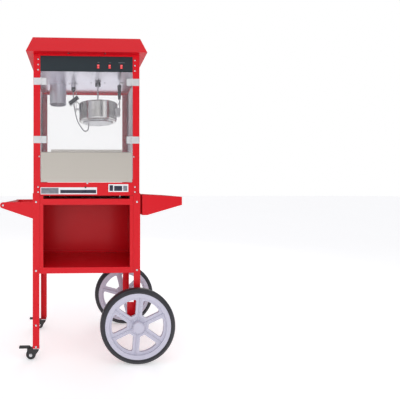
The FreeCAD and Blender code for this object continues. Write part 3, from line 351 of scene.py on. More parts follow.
def material(name, colour, second=None, rough=(0.3, 0.4), metal=0.0, patch=6.0, peel=None, grain=None,
             edge=None, edgeAmount=0.4, around=None, **constants):
    # patchy colour, drifting roughness, worn edges, and either peel or grain for the relief
    made = bpy.data.materials.new(name)
    made.use_nodes = True
    tree = made.node_tree
    shader = tree.nodes["Principled BSDF"]
    where = tree.nodes.new("ShaderNodeTexCoord").outputs["Object"]
    if around:                          # centre the pattern on a turned piece
        shift = tree.nodes.new("ShaderNodeMapping")
        shift.inputs["Location"].default_value = [-value for value in around]
        tree.links.new(where, shift.inputs["Vector"])
        where = shift.outputs["Vector"]
    four = lambda value: (*value, 1)
    second = second or tuple(channel * 0.85 for channel in colour)
    patches = placed(tree, "patches", Vector=where, Colour_A=four(colour), Colour_B=four(second), Scale=patch)
    hue = patches.outputs["Colour"]
    if edge:
        rounded = tree.nodes.new("ShaderNodeAttribute")
        rounded.attribute_name = "rounded"
        wear = placed(tree, "wear", Vector=where, Rounded=rounded.outputs["Fac"], Colour=hue,
                      Edge_Colour=four(edge), Amount=edgeAmount)
        hue = wear.outputs["Colour"]
    tree.links.new(hue, shader.inputs["Base Color"])
    wiped = placed(tree, "rough", Vector=where, Low=rough[0], High=rough[1], Scale=9.0)
    roughness = wiped.outputs["Roughness"]
    if grain:                           # grain = (stretch of the pattern along x, y, z, strength)
        stretch = tree.nodes.new("ShaderNodeMapping")
        stretch.inputs["Scale"].default_value = grain[:3]
        tree.links.new(where, stretch.inputs["Vector"])
        lines = placed(tree, "grain", Vector=stretch.outputs["Vector"], Strength=grain[3])
        tree.links.new(lines.outputs["Normal"], shader.inputs["Normal"])
        add = tree.nodes.new("ShaderNodeMath")
        add.operation = "MULTIPLY_ADD"
        tree.links.new(lines.outputs["Line"], add.inputs[0])
        add.inputs[1].default_value = 0.22
        tree.links.new(roughness, add.inputs[2])
        roughness = add.outputs[0]
    elif peel:                          # peel = (scale, strength)
        relief = placed(tree, "peel", Vector=where, Scale=peel[0], Strength=peel[1])
        tree.links.new(relief.outputs["Normal"], shader.inputs["Normal"])
    tree.links.new(roughness, shader.inputs["Roughness"])
    shader.inputs["Metallic"].default_value = metal
    for label, value in constants.items():
        shader.inputs[label.replace("_", " ")].default_value = value
    return made


def clearSheet(name, tint, low, high, rough=0.03):
    # clear plastic sheet: seen through face on; at a glancing angle it turns opaque and whitish, a painted
    # reflection
    made = bpy.data.materials.new(name)
    made.use_nodes = True
    tree = made.node_tree
    shader = tree.nodes["Principled BSDF"]
    where = tree.nodes.new("ShaderNodeTexCoord").outputs["Object"]
    deeper = [channel * 0.94 for channel in tint]
    patches = placed(tree, "patches", Vector=where, Colour_A=(*tint, 1), Colour_B=(*deeper, 1), Scale=3.0)
    tree.links.new(patches.outputs["Colour"], shader.inputs["Base Color"])
    smear = placed(tree, "rough", Vector=where, Low=rough, High=rough * 3, Scale=5.0)
    tree.links.new(smear.outputs["Roughness"], shader.inputs["Roughness"])
    # painted reflection: opacity and pale colour rise towards a glancing view
    facing = tree.nodes.new("ShaderNodeLayerWeight")
    facing.inputs["Blend"].default_value = 0.35
    tree.links.new(mappedRange(tree, facing.outputs["Fresnel"], low, high, 0.0, 1.0), shader.inputs["Alpha"])
    shader.inputs["IOR"].default_value = 1.49
    shader.inputs["Specular IOR Level"].default_value = 0.3
    return made


red = (0.60, 0.004, 0.012)
paint = dict(second=(0.575, 0.004, 0.011), patch=3.0, peel=(420.0, 0.04), edge=(0.80, 0.07, 0.07),
             edgeAmount=0.3, Specular_IOR_Level=0.2, Coat_Weight=0.08, Coat_Roughness=0.15)
finishes = {
    "redEnamel": material(
        "redEnamel", red, rough=(0.30, 0.36), **paint),
    "blackEnamel": material(
        "blackEnamel", (0.018, 0.027, 0.033), second=(0.016, 0.024, 0.030), rough=(0.34, 0.38),
        peel=(300.0, 0.04), edge=(0.1, 0.1, 0.1), Specular_IOR_Level=0.3),
    "satinSteel": material(
        "satinSteel", (0.68, 0.635, 0.575), second=(0.67, 0.63, 0.57), rough=(0.30, 0.33), metal=1.0,
        patch=2.5, grain=(2.0, 1100.0, 1100.0, 0.10), edge=(0.85, 0.85, 0.83)),
    "hingeSteel": material(
        "hingeSteel", (0.95, 0.96, 0.98), second=(0.91, 0.92, 0.94), rough=(0.28, 0.38), metal=1.0,
        patch=40.0, peel=(200.0, 0.04), edge=(0.95, 0.95, 0.95)),
    "brightCeiling": material(
        "brightCeiling", (0.84, 0.825, 0.90), second=(0.82, 0.805, 0.88), rough=(0.22, 0.28), metal=1.0,
        grain=(4.0, 700.0, 700.0, 0.02)),
    "shadeSteel": material(
        "shadeSteel", (0.73, 0.72, 0.77), second=(0.70, 0.69, 0.74), rough=(0.28, 0.34), metal=1.0,
        grain=(260.0, 260.0, 4.0, 0.08), edge=(0.75, 0.75, 0.76)),
    "spunSteel": material(
        "spunSteel", (0.70, 0.69, 0.68), second=(0.66, 0.64, 0.61), rough=(0.08, 0.13), metal=1.0,
        grain=(3.0, 3.0, 1500.0, 0.05), edge=(0.9, 0.9, 0.9)),
    "castSteel": material(
        "castSteel", (0.60, 0.60, 0.61), second=(0.52, 0.52, 0.53), rough=(0.25, 0.38), metal=1.0,
        patch=30.0, peel=(350.0, 0.12), edge=(0.85, 0.85, 0.85)),
    "zincPlate": material(
        "zincPlate", (0.74, 0.74, 0.76), second=(0.62, 0.63, 0.66), rough=(0.2, 0.32), metal=1.0,
        patch=60.0, peel=(500.0, 0.08)),
    "clearSheet": clearSheet(
        "clearSheet", (0.78, 0.78, 0.84), 0.03, 0.7),
    "pearlBulb": material(
        "pearlBulb", (0.85, 0.83, 0.78), rough=(0.2, 0.3), peel=(200.0, 0.03)),
    "rockerRed": material(
        "rockerRed", (0.38, 0.005, 0.008), rough=(0.15, 0.25), peel=(400.0, 0.04), Coat_Weight=0.4),
    "rockerLens": material(
        "rockerLens", (0.92, 0.10, 0.11), second=(0.88, 0.08, 0.09), rough=(0.1, 0.2),
        peel=(600.0, 0.05), Coat_Weight=0.6),
    "blackGrip": material(
        "blackGrip", (0.006, 0.007, 0.007), rough=(0.30, 0.40), peel=(500.0, 0.04),
        edge=(0.07, 0.07, 0.07), edgeAmount=0.3),
    "cableGrey": material(
        "cableGrey", (0.36, 0.36, 0.37), second=(0.30, 0.30, 0.31), rough=(0.4, 0.5), patch=90.0,
        peel=(900.0, 0.15)),
    "motorGrey": material(
        "motorGrey", (0.2, 0.21, 0.22), rough=(0.35, 0.5), peel=(300.0, 0.1)),
    "footRubber": material(
        "footRubber", (0.02, 0.02, 0.02), rough=(0.6, 0.75), peel=(600.0, 0.2)),
    "wheelPlastic": material(
        "wheelPlastic", (0.51, 0.50, 0.60), second=(0.48, 0.47, 0.57), rough=(0.34, 0.44), patch=5.0,
        peel=(700.0, 0.08), edge=(0.58, 0.57, 0.66), edgeAmount=0.5),
    "tyreBlack": material(
        "tyreBlack", (0.013, 0.013, 0.018), second=(0.020, 0.020, 0.027), rough=(0.3, 0.42), patch=25.0,
        peel=(500.0, 0.12), edge=(0.05, 0.05, 0.06), edgeAmount=0.3),
    "castorBlack": material(
        "castorBlack", (0.016, 0.016, 0.017), rough=(0.35, 0.5), peel=(500.0, 0.12),
        edge=(0.09, 0.09, 0.09)),
    "labelWhite": material(
        "labelWhite", (0.72, 0.73, 0.75), second=(0.68, 0.69, 0.72), rough=(0.2, 0.3), patch=12.0,
        peel=(700.0, 0.02), Coat_Weight=0.3),
    "labelInk": material(
        "labelInk", (0.012, 0.014, 0.032), second=(0.02, 0.022, 0.045), rough=(0.25, 0.35), patch=60.0,
        peel=(700.0, 0.03)),
    "labelGrey": material(
        "labelGrey", (0.20, 0.21, 0.24), second=(0.12, 0.13, 0.15), rough=(0.25, 0.35), patch=80.0,
        peel=(700.0, 0.03)),
}
print("materials made:", len(finishes))


shot = {"place": (-0.06675, -1.685, 0.803), "yaw": 2.0, "lens": 28.9, "shiftX": 0.278, "shiftY": -0.03}


def setCamera():
    data = bpy.data.cameras.new("camera")
    camera = bpy.data.objects.new("camera", data)
    bpy.context.scene.collection.objects.link(camera)
    camera.location = shot["place"]
    camera.rotation_euler = (math.radians(90), 0, -math.radians(shot["yaw"]))
    data.lens, data.sensor_width = shot["lens"], 36
    data.shift_x, data.shift_y = shot["shiftX"], shot["shiftY"]
    bpy.context.scene.camera = camera


kettleLead = {
    "diameter": 0.006,
    "route": [(-0.08875, 0.022, 1.314), (-0.08875, 0.022, 1.288), (-0.08675, 0.021, 1.251),
              (-0.08125, 0.018, 1.214), (-0.07425, 0.015, 1.180), (-0.06525, 0.013, 1.151),
              (-0.05025, 0.010, 1.1273), (-0.03635, 0.010, 1.1051), (-0.02065, 0.010, 1.1019),
              (-0.00825, 0.010, 1.112), (-0.00825, 0.010, 1.141)],
}


def hangLead():
    curve = bpy.data.curves.new("kettleLead", "CURVE")
    curve.dimensions = "3D"
    curve.resolution_u = 16
    spline = curve.splines.new("NURBS")
    spline.points.add(len(kettleLead["route"]) - 1)
    for point, place in zip(spline.points, kettleLead["route"]):
        point.co = (*place, 1)
    spline.order_u = 3
    spline.use_endpoint_u = True
    lead = bpy.data.objects.new("kettleLead", curve)
    bpy.context.scene.collection.objects.link(lead)
    bpy.context.view_layer.update()
    line = bpy.data.meshes.new_from_object(lead.evaluated_get(bpy.context.evaluated_depsgraph_get()))
    curve.bevel_depth = kettleLead["diameter"] / 2
    curve.bevel_resolution = 4
    pick(lead)
    bpy.ops.object.convert(target="MESH")
    tube = bpy.context.object
    closeUp(tube)
    smooth(tube, 60)
    tube.name = "kettleLead"
    tube.data.materials.clear()
    tube.data.materials.append(finishes["cableGrey"])
    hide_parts("kettle_cable")
    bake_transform(tube)


setCamera()
hangLead()
print("camera set and kettle lead hung")


frameFinishes = {                       # node: (edge radius in mm, finish)
    "roof_canopy": (1.2, "redEnamel"), "corner_posts": (1.0, "redEnamel"), "machine_base": (0.6, "redEnamel"),
    "top_box": (0.6, "redEnamel"), "cart_legs": (1.0, "redEnamel"), "cart_deck": (0.7, "redEnamel"),
    "cupboard_sides": (0.7, "redEnamel"), "cupboard_back": (0.6, "redEnamel"),
    "cupboard_shelf": (0.7, "redEnamel"),
    "side_tray": (0.7, "redEnamel"), "handle_brackets": (0.9, "redEnamel"), "axle_plates": (0.9, "redEnamel"),
    "push_handle": (0.5, "redEnamel"), "control_panel": (0.5, "blackEnamel"),
    "serving_flap": (0.7, "satinSteel"),
    "door_sill": (0.5, "satinSteel"), "popcorn_floor": (0.3, "satinSteel"), "hinge_pins": (0.3, "hingeSteel"),
    "ceiling_plate": (0.3, "brightCeiling"), "ceiling_socket": (0.8, "shadeSteel"),
    "kettle_hangers": (0.8, "castSteel"), "drive_hub": (0.8, "blackGrip"),
    "lid_fixed": (0.4, "spunSteel"), "lid_flap": (0.4, "spunSteel"), "grip_straps": (0.7, "castSteel"),
    "stirrer": (0.7, "castSteel"), "axle": (1.0, "zincPlate"), "castor_plates": (0.6, "zincPlate"),
    "glass_panes": (0.5, "clearSheet"), "door_left": (0.5, "clearSheet"), "door_right": (0.5, "clearSheet"),
    "lamp_bulb": (0.3, "pearlBulb"), "kettle_plug": (1.0, "blackGrip"), "cable_gland": (1.0, "blackGrip"),
    "gear_motor": (1.5, "motorGrey"), "machine_feet": (1.5, "footRubber"),
    "brake_pedal_front": (1.2, "castorBlack"), "brake_pedal_back": (1.2, "castorBlack"),
}


def camel(node):
    first, *rest = node.split("_")
    return first + "".join(word.title() for word in rest)


def softened(node, radius, steps=2):    # a merged copy of a node with its edges bevelled
    piece = bpy.data.objects.new(camel(node), frame["nodes"][node].data.copy())
    bpy.context.scene.collection.objects.link(piece)
    editing(piece)
    bpy.ops.mesh.customdata_custom_splitnormals_clear()
    bpy.ops.mesh.remove_doubles(threshold=1e-6)
    bpy.ops.mesh.dissolve_limited(angle_limit=math.radians(0.5))
    bpy.ops.object.mode_set(mode="OBJECT")
    piece.data.materials.clear()
    for _ in range(2):                  # the second slot is where the bevel puts its faces
        piece.data.materials.append(None)
    bevel(piece, radius * millimetre, segments=steps, angle=32, mark=1)
    markRounded(piece)
    smooth(piece, 40)
    weighted(piece)
    return piece


def standIn(piece, node, finish):       # the piece stands for that node, on its body and in its slot
    piece.name = camel(node)
    return fixed(piece, frame["nodes"][node]["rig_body"], finishes[finish], [node])


for node, (radius, finish) in frameFinishes.items():
    standIn(softened(node, radius), node, finish)
print("rounded pieces:", len(frameFinishes))


bigWheel = {"spokes": 6, "restTurn": {"front": 5, "back": -14}, "ribWidth": 0.0045, "ribRise": 0.0045,
            "ribFrom": 0.024, "ribTo": 0.1300,
            "web": 0.007, "capRadius": 0.0265, "capRise": 0.006,
            "rings": (("step", 0.1325, 0.0016, 96), ("hubRing", 0.040, 0.0013, 64)), "ringOut": 0.0073}
tyreShape = [                           # radius and width, in mm
    (151.2, -15.5), (153.5, -18.0), (156.0, -18.9), (157.2, -19.6), (158.8, -19.6), (160.0, -18.8),
    (164.5, -17.8), (168.3, -15.6), (170.9, -12.6), (172.1, -9.5), (172.5, -6.6), (171.3, -6.1),
    (171.3, -4.9), (172.5, -4.4), (172.5, 4.4), (171.3, 4.9), (171.3, 6.1), (172.5, 6.6), (172.1, 9.5),
    (170.9, 12.6), (168.3, 15.6), (164.5, 17.8), (160.0, 18.8), (158.8, 19.6), (157.2, 19.6),
    (156.0, 18.9), (153.5, 18.0), (151.2, 15.5), (151.2, -15.5),
]


def makeWheel(end, outward):
    node = "wheel_" + end
    centre = middleOf("tyre_" + end)
    wheel = softened(node, 2.0, 3)
    half = bigWheel["web"] + bigWheel["ribRise"]
    wide = bigWheel["ribWidth"] / 2
    rib = block("rib", (-wide, -half, bigWheel["ribFrom"]), (wide, half, bigWheel["ribTo"]))
    bevel(rib, 0.0014, 2)
    parts = [wheel]
    for number in range(bigWheel["spokes"]):
        angle = math.radians(60 * number + bigWheel["restTurn"][end])
        turn = Matrix.Translation(centre) @ Matrix.Rotation(angle, 4, "Y")
        parts.append(copyOf(rib, "rib", turn))
    bpy.data.objects.remove(rib)
    low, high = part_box(node)
    face = low.y if outward < 0 else high.y
    radius, rise = bigWheel["capRadius"], bigWheel["capRise"]
    cap = [(radius, -0.003), (radius, 0.0), (radius * 0.97, rise * 0.3), (radius * 0.86, rise * 0.62),
           (radius * 0.62, rise * 0.87), (radius * 0.3, rise * 0.98), (0, rise)]
    parts.append(turned("cap", cap, (centre.x, face, centre.z), "y" if outward < 0 else "-y", 64))
    for side in (-1, 1):                # the step where the web meets the rim, and a ring round the hub
        place = (centre.x, centre.y + side * bigWheel["ringOut"], centre.z)
        for name, ring, thick, steps in bigWheel["rings"]:
            parts.append(bead(name, ring, thick, place, "y", steps))
    wheel = join(camel(node), parts)
    closeUp(wheel)
    smooth(wheel, 35)
    standIn(wheel, node, "wheelPlastic")
    tyre = turned("tyre", [(radius / 1000, height / 1000) for radius, height in tyreShape], centre, "y", 128)
    smooth(tyre, 28)
    standIn(tyre, "tyre_" + end, "tyreBlack")


makeWheel("front", -1)
makeWheel("back", 1)
print("wheels made")


pot = {"wall": [(0, 1.5), (88, 1.5), (93, 3.2), (95.6, 7.5), (96.0, 13), (96.0, 90.0), (97.0, 91.6),
                (98.6, 91.9), (99.6, 90.9), (99.5, 89.2), (98.2, 88.4), (97.5, 87.6), (97.5, 12),
                (97.0, 6.5), (94.8, 2.4), (90.5, 0.2), (86, 0), (0, 0)],
       "bands": (14.0, 20.0), "bandRadius": 0.0975, "bandThick": 0.0006,
       "pivot": 1.215, "pinFrom": 0.0965, "pinRadius": 0.005, "pinTip": 0.004}
heater = {"shape": [(0, 0), (70.5, 0), (73.0, 0.4), (76.5, 2.2), (78.4, 4.4), (79.0, 6.2), (79.0, 7.0),
                    (0, 7.0)],
          "screws": 6, "screwRing": 0.062, "screwSize": (0.0035, 0.0018)}
tipGrip = {"centre": (-0.08645, -0.024, 1.2558), "tilt": 37.4,
           "shape": [(0, 0), (6.5, 0), (9.3, 0.8), (10.7, 2.6), (11.0, 5.5), (10.2, 9.5), (10.2, 14),
                     (9.6, 14.6), (9.6, 15.6), (10.2, 16.2), (10.2, 39.8), (9.6, 40.4), (9.6, 41.4),
                     (10.2, 42), (10.2, 46.5), (11.0, 50.5), (10.7, 53.4), (9.3, 55.2), (6.5, 56), (0, 56)]}
liftGrip = {"shape": [(0, 0), (5.5, 0), (6.8, 0.8), (7.2, 2.6), (7.0, 6), (7.4, 10), (8.6, 36), (9.6, 58),
                      (10.3, 68), (10.3, 71.5), (9.3, 74.4), (7.0, 75.7), (0, 76)]}


def inMetres(shape):
    return [(radius / 1000, height / 1000) for radius, height in shape]


def makeKettle():
    low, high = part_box("kettle_pot")
    centre = middleOf("kettle_pot")
    parts = [turned("pot", inMetres(pot["wall"]), (centre.x, centre.y, low.z), steps=128)]
    for height in pot["bands"]:         # shallow rolled lines near the foot of the pot
        place = (centre.x, centre.y, low.z + height / 1000)
        parts.append(bead("band", pot["bandRadius"], pot["bandThick"], place, steps=128))
    reach = (high.x - low.x) / 2
    start, radius = pot["pinFrom"], pot["pinRadius"]
    pin = [(0, start), (radius, start), (radius, reach - 0.001), (pot["pinTip"], reach), (0, reach)]
    for way in ("x", "-x"):
        parts.append(turned("pin", pin, (centre.x, centre.y, pot["pivot"]), way, 32))
    kettle = join("kettlePot", parts)
    closeUp(kettle)
    smooth(kettle, 35)
    standIn(kettle, "kettle_pot", "spunSteel")


makeKettle()


def makeHeater():
    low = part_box("heater_base")[0]
    centre = middleOf("heater_base")
    base = turned("heater", inMetres(heater["shape"]), (centre.x, centre.y, low.z), steps=96)
    parts = [base]
    for number in range(heater["screws"]):
        turn = math.radians(60 * number + 15)
        ring = heater["screwRing"]
        place = (centre.x + ring * math.cos(turn), centre.y + ring * math.sin(turn), low.z)
        parts.append(screwHead(place, (0, 0, -1), *heater["screwSize"]))
    base = join("heaterBase", parts)
    smooth(base, 35)
    standIn(base, "heater_base", "castSteel")


screw = {"radius": 0.004, "height": 0.002,
         "dome": [(0, 0), (1.0, 0), (1.0, 0.30), (0.93, 0.58), (0.76, 0.80), (0.5, 0.94), (0.24, 1.0),
                  (0, 1.0)],
         "slotLong": 0.55, "slotWide": 0.11, "slotFloor": 0.35}


def masterScrew():
    radius, height = screw["radius"], screw["height"]
    head = turned("screwHead", [(r * radius, z * height) for r, z in screw["dome"]], (0, 0, 0), steps=24)
    long, wide, floor = radius * screw["slotLong"], radius * screw["slotWide"], height * screw["slotFloor"]
    slots = [block("slot", (-long, -wide, floor), (long, wide, height * 2)),
             block("slot", (-wide, -long, floor), (wide, long, height * 2))]
    for slot in slots:
        addModifier(head, "BOOLEAN", object=slot, operation="DIFFERENCE", solver="EXACT")
        bpy.data.objects.remove(slot)
    smooth(head, 30)
    return head


headPattern = masterScrew()


def screwHead(place, outward, radius, height):
    size = Matrix.Diagonal((radius / screw["radius"], radius / screw["radius"], height / screw["height"], 1))
    turn = Vector(outward).to_track_quat("Z", "X").to_matrix().to_4x4()
    spin = Matrix.Rotation(math.radians((place[0] * 7919 + place[2] * 4801) * 1000 % 90), 4, "Z")
    return copyOf(headPattern, "head", Matrix.Translation(Vector(place)) @ turn @ spin @ size)


def islands(node):                      # lowest and highest corner of each separate solid in a node
    probe = bpy.data.objects.new("probe", frame["nodes"][node].data.copy())
    bpy.context.scene.collection.objects.link(probe)
    editing(probe)
    bpy.ops.mesh.remove_doubles(threshold=1e-6)
    bpy.ops.mesh.separate(type="LOOSE")
    bpy.ops.object.mode_set(mode="OBJECT")
    found = []
    for part in list(bpy.context.selected_objects):
        corners = [vertex.co for vertex in part.data.vertices]
        found.append((Vector([min(c[axis] for c in corners) for axis in range(3)]),
                      Vector([max(c[axis] for c in corners) for axis in range(3)])))
        bpy.data.objects.remove(part)
    return found


def makeScrews(node, finish):
    middle = middleOf(node)
    heads = []
    for low, high in islands(node):
        size, centre = high - low, (low + high) / 2
        axis = min(range(3), key=lambda number: size[number])
        outward = [0, 0, 0]
        outward[axis] = 1 if centre[axis] > (middle[axis] if axis != 1 else 0) else -1
        place = centre.copy()
        place[axis] = low[axis] if outward[axis] > 0 else high[axis]
        heads.append(screwHead(place, outward, max(size) / 2, size[axis]))
    standIn(join(camel(node), heads), node, finish)
    return len(heads)


print("screws and bolts:", makeScrews("case_screws", "zincPlate"), makeScrews("cart_bolts", "zincPlate"))
makeHeater()


def makeGrips():
    turn = Matrix.Rotation(math.radians(90 - tipGrip["tilt"]), 4, "Y")
    shape = [(radius, height - 0.028) for radius, height in inMetres(tipGrip["shape"])]
    grip = turned("tippingGrip", shape, (0, 0, 0), steps=48)
    grip.data.transform(Matrix.Translation(tipGrip["centre"]) @ turn)
    standIn(grip, "tipping_grip", "blackGrip")
    low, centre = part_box("lifting_grip")[0], middleOf("lifting_grip")
    grip = turned("liftingGrip", inMetres(liftGrip["shape"]), (centre.x, centre.y, low.z), steps=48)
    standIn(grip, "lifting_grip", "blackGrip")


makeGrips()
print("kettle made")


shadeParts = {"lip": (0.0438, 0.0011, 0.001), "seam": (0.0444, 0.0005, 0.052),     # radius, thickness, height
              "foldFrom": 0.010, "foldTo": 0.0125, "foldOut": 0.0448, "foldIn": 0.0425, "foldEnds": 0.002}


def makeShade():
    low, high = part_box("lamp_shade")
    centre = middleOf("lamp_shade")
    shade = softened("lamp_shade", 0.3)
    parts = [shade]
    for name in ("lip", "seam"):
        radius, thick, height = shadeParts[name]
        parts.append(bead(name, radius, thick, (centre.x, centre.y, low.z + height), steps=96))
    start = (centre.x + shadeParts["foldFrom"], centre.y - shadeParts["foldOut"],
             low.z + shadeParts["foldEnds"])
    end = (centre.x + shadeParts["foldTo"], centre.y - shadeParts["foldIn"],
           high.z - shadeParts["foldEnds"])
    parts.append(block("foldedSeam", start, end))
    bevel(parts[-1], 0.0004, 2)
    shade = join("lampShade", parts)
    smooth(shade, 35)
    standIn(shade, "lamp_shade", "shadeSteel")


makeShade()


rocker = {"rim": 0.0013, "sink": -0.0005}


def makeRocker(node):
    piece = softened(node, 0.7)
    pick(piece)
    for polygon in piece.data.polygons:
        polygon.select = polygon.normal.y < -0.9 and polygon.area > 4e-5
    bpy.ops.object.mode_set(mode="EDIT")
    bpy.ops.mesh.select_mode(type="FACE")
    bpy.ops.mesh.inset(thickness=rocker["rim"], depth=rocker["sink"], use_individual=True)
    bpy.ops.object.mode_set(mode="OBJECT")
    chosen = [polygon.index for polygon in piece.data.polygons if polygon.select]
    standIn(piece, node, "rockerRed")
    piece.data.materials.append(finishes["rockerLens"])
    for index in chosen:
        piece.data.polygons[index].material_index = 1


for node in ("rocker_heat", "rocker_stir", "rocker_lamp"):
    makeRocker(node)


leafScrews = {"heights": (0.27, 0.73), "across": 0.32, "face": 0.0038, "size": (0.0028, 0.0009)}


def makeLeaves(node):
    leaves = softened(node, 0.3)
    parts = [leaves]
    for low, high in islands(node):
        across = high.x - low.x
        # the side away from the pin
        left = low.x if abs(low.x - middleX) > abs(high.x - middleX) else high.x
        if node != "post_hinge_leaves":
            left = high.x if left == low.x else low.x
        inward = 1 if left == low.x else -1
        for height in leafScrews["heights"]:
            place = (left + inward * across * leafScrews["across"], low.y + leafScrews["face"],
                     low.z + (high.z - low.z) * height)
            parts.append(screwHead(place, (0, -1, 0), *leafScrews["size"]))
    standIn(join(camel(node), parts), node, "hingeSteel")


for node in ("post_hinge_leaves", "door_left_leaves", "door_right_leaves"):
    makeLeaves(node)
print("hinges made")


castor = {"wheel": [(3.2, -9.3), (8.0, -9.3), (8.6, -8.2), (15.5, -8.2), (16.4, -9.2), (19.5, -9.2),
                    (21.6, -8.2), (22.7, -5.8), (23.0, -3.0), (23.0, 3.0), (22.7, 5.8), (21.6, 8.2),
                    (19.5, 9.2), (16.4, 9.2), (15.5, 8.2), (8.6, 8.2), (8.0, 9.3), (3.2, 9.3), (3.2, -9.3)],
          "nut": [(0, 0), (0.0072, 0), (0.0072, 0.0008), (0.0056, 0.0010), (0.0052, 0.0030),
                  (0.0038, 0.0042), (0, 0.0045)],
          "cheek": 0.0135}


def makeCastor(end):
    centre = middleOf("castor_wheel_" + end)
    wheel = turned("castorWheel", inMetres(castor["wheel"]), centre, "y", 64)
    standIn(wheel, "castor_wheel_" + end, "castorBlack")
    standIn(softened("castor_fork_" + end, 0.7), "castor_fork_" + end, "castorBlack")
    for side, way in ((-1, "y"), (1, "-y")):     # bright axle ends on the fork's cheeks
        face = centre.y + side * castor["cheek"]
        nut = turned("castorNut", castor["nut"], (centre.x, face, centre.z), way, 24)
        nut.name = "castorNut" + end.title() + ("Near" if side < 0 else "Far")
        fixed(nut, "castor_fork_" + end, finishes["zincPlate"])


makeCastor("front")
makeCastor("back")
print("castors made")


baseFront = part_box("machine_base")[0].y
plates = {                              # from x, to x, from z, to z (mm from the case's middle), rise, finish
    "ratingPlateWide": (-216, 48, 773.5, 806, 0.7, "labelWhite"),
    "ratingPlateWideEnd": (-213, -132, 776.5, 803, 1.0, "labelGrey"),
    "ratingPlateWideBand": (-124, 44, 778.5, 794, 1.0, "labelInk"),
    "ratingPlateSmall": (102, 196, 784.5, 821, 0.7, "labelWhite"),
    "ratingPlateSmallLeft": (107, 124, 789, 816, 1.0, "labelInk"),
    "ratingPlateSmallMiddle": (129, 167, 789, 813, 1.0, "labelInk"),
    "ratingPlateSmallRight": (172, 191, 789, 813, 1.0, "labelGrey"),
}


def makePlate(name, face, left, right, bottom, top, rise, finish):
    piece = block(name, (middleX + left / 1000, face - rise / 1000, bottom / 1000),
                  (middleX + right / 1000, face + 0.0002, top / 1000))
    bevel(piece, 0.00025, 2)
    smooth(piece, 35)
    fixed(piece, "frame", finishes[finish])


for name, (left, right, bottom, top, rise, finish) in plates.items():
    makePlate(name, baseFront, left, right, bottom, top, rise, finish)
switchMarks = {"places": ((55, 9), (109, 9), (164, 30)), "bottom": 1391.5, "top": 1393.2, "rise": 0.25,
               "out": 0.0016}           # each place is a middle and a width, in mm
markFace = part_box("top_box")[0].y - switchMarks["out"]
for number, (place, wide) in enumerate(switchMarks["places"]):
    makePlate(f"switchMark{number}", markFace, place - wide / 2, place + wide / 2, switchMarks["bottom"],
              switchMarks["top"], switchMarks["rise"], "labelGrey")
catches = {                             # x and z in mm, radius and rise in metres, finish
    "flapStud": (3, 826, 0.0045, 0.0012, "zincPlate"),      # low enough for the dropped flap to pass
    "flapStop": (-6, 806, 0.004, 0.003, "blackGrip"),
}
for name, (x, z, radius, rise, finish) in catches.items():
    place = (middleX + x / 1000, baseFront, z / 1000)
    piece = screwHead(place, (0, -1, 0), radius, rise)
    piece.name = name
    fixed(piece, "frame", finishes[finish])
motorScrew = {"apart": 0.036, "radius": 0.0035, "rise": 0.002}
hub = middleOf("drive_hub")
for side in (-1, 1):
    place = (hub.x + side * motorScrew["apart"], hub.y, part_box("ceiling_plate")[0].z)
    piece = screwHead(place, (0, 0, -1), motorScrew["radius"], motorScrew["rise"])
    piece.name = "motorScrew" + ("Left" if side < 0 else "Right")
    fixed(piece, "frame", finishes["blackGrip"])
bpy.data.objects.remove(headPattern)
print("small pieces made")


studio = {"floor": (0.90, 0.90, 0.90), "glow": 0.34, "key": 4, "fill": 5, "front": 30, "top": 6, "rim": 10,
          "seen": 1.0, "room": 0.60}
roomBands = [                           # degrees round from the front, how bright, how wide
    (-140, 0.25, 14), (-80, 0.22, 12), (-54, 1.45, 18), (-28, 0.55, 8), (-3, 1.15, 14), (18, 0.08, 7),
    (38, 1.55, 14), (60, 0.10, 8), (84, 0.45, 12), (130, 0.25, 16), (180, 1.1, 20),
]


def areaLight(name, place, target, size, power, mirrored=True):
    data = bpy.data.lights.new(name, "AREA")
    data.shape = "RECTANGLE"
    data.size, data.size_y = size
    data.energy = power
    light = bpy.data.objects.new(name, data)
    light.location = place
    light.rotation_euler = (Vector(target) - Vector(place)).to_track_quat("-Z", "Y").to_euler()
    light.visible_glossy = mirrored
    bpy.context.scene.collection.objects.link(light)


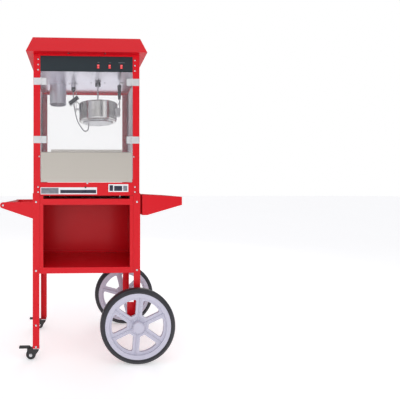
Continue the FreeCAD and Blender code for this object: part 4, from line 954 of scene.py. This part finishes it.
def setWorld():                         # white to the camera; soft banded room for light and reflections
    world = bpy.data.worlds.new("studio")
    bpy.context.scene.world = world
    world.use_nodes = True
    tree = world.node_tree
    tree.nodes.clear()
    where = tree.nodes.new("ShaderNodeTexCoord")
    split = tree.nodes.new("ShaderNodeSeparateXYZ")
    tree.links.new(where.outputs["Generated"], split.inputs[0])
    back = tree.nodes.new("ShaderNodeMath")
    back.operation = "MULTIPLY"
    back.inputs[1].default_value = -1
    tree.links.new(split.outputs["Y"], back.inputs[0])
    turn = tree.nodes.new("ShaderNodeMath")
    turn.operation = "ARCTAN2"
    tree.links.new(split.outputs["X"], turn.inputs[0])
    tree.links.new(back.outputs[0], turn.inputs[1])
    span = tree.nodes.new("ShaderNodeMapRange")
    span.inputs["From Min"].default_value = -math.pi
    span.inputs["From Max"].default_value = math.pi
    tree.links.new(turn.outputs[0], span.inputs["Value"])
    ramp = tree.nodes.new("ShaderNodeValToRGB")
    ramp.color_ramp.interpolation = "EASE"
    stops = []
    for angle, bright, wide in roomBands:
        stops += [(angle - wide / 2, bright), (angle + wide / 2, bright)]
    stops = [(max(0.0, min(1.0, (angle + 180) / 360)), bright) for angle, bright in stops]
    elements = ramp.color_ramp.elements
    elements[0].position, elements[0].color = stops[0][0], (*[stops[0][1] / 1.5] * 3, 1)
    elements[1].position, elements[1].color = stops[-1][0], (*[stops[-1][1] / 1.5] * 3, 1)
    for position, bright in stops[1:-1]:
        element = elements.new(position)
        element.color = (*[bright / 1.5] * 3, 1)
    tree.links.new(span.outputs["Result"], ramp.inputs["Fac"])
    up = tree.nodes.new("ShaderNodeMapRange")
    up.inputs["From Min"].default_value = 0.15
    up.inputs["From Max"].default_value = 0.6
    tree.links.new(split.outputs["Z"], up.inputs["Value"])
    mix = tree.nodes.new("ShaderNodeMix")
    mix.data_type = "RGBA"
    tree.links.new(up.outputs["Result"], mix.inputs["Factor"])
    tree.links.new(ramp.outputs["Color"], mix.inputs["A"])
    mix.inputs["B"].default_value = (0.85, 0.85, 0.88, 1)
    room, seen = tree.nodes.new("ShaderNodeBackground"), tree.nodes.new("ShaderNodeBackground")
    tree.links.new(mix.outputs["Result"], room.inputs["Color"])
    room.inputs["Strength"].default_value = studio["room"] * 1.5
    seen.inputs["Color"].default_value = (1, 1, 1, 1)
    seen.inputs["Strength"].default_value = studio["seen"]
    path = tree.nodes.new("ShaderNodeLightPath")
    both = tree.nodes.new("ShaderNodeMixShader")
    out = tree.nodes.new("ShaderNodeOutputWorld")
    tree.links.new(path.outputs["Is Camera Ray"], both.inputs[0])
    tree.links.new(room.outputs[0], both.inputs[1])
    tree.links.new(seen.outputs[0], both.inputs[2])
    tree.links.new(both.outputs[0], out.inputs["Surface"])


def setStage():
    deselect()
    bpy.ops.mesh.primitive_plane_add(size=60)
    floor = settle(bpy.context.object, "floor")
    finish = material("paleFloor", studio["floor"], second=(0.89, 0.89, 0.89), rough=(0.6, 0.7), patch=0.5,
                      Emission_Color=(1, 1, 1, 1), Emission_Strength=studio["glow"])
    floor.data.materials.append(finish)
    setWorld()
    areaLight("key", (-1.8, -2.6, 2.6), (0, 0, 0.9), (1.2, 1.6), studio["key"])
    areaLight("fill", (2.2, -2.2, 1.6), (0, 0, 0.8), (1.4, 1.6), studio["fill"])
    areaLight("front", (-0.3, -3.2, 1.0), (0, 0, 0.85), (2.5, 2.0), studio["front"], mirrored=False)
    areaLight("top", (0, -0.4, 3.4), (0, 0, 0), (2.0, 2.0), studio["top"])
    areaLight("rim", (1.2, 2.6, 2.0), (0, 0, 0.8), (1.0, 1.5), studio["rim"])


setStage()
bpy.context.scene.view_settings.view_transform = "Standard"
print("stage set")
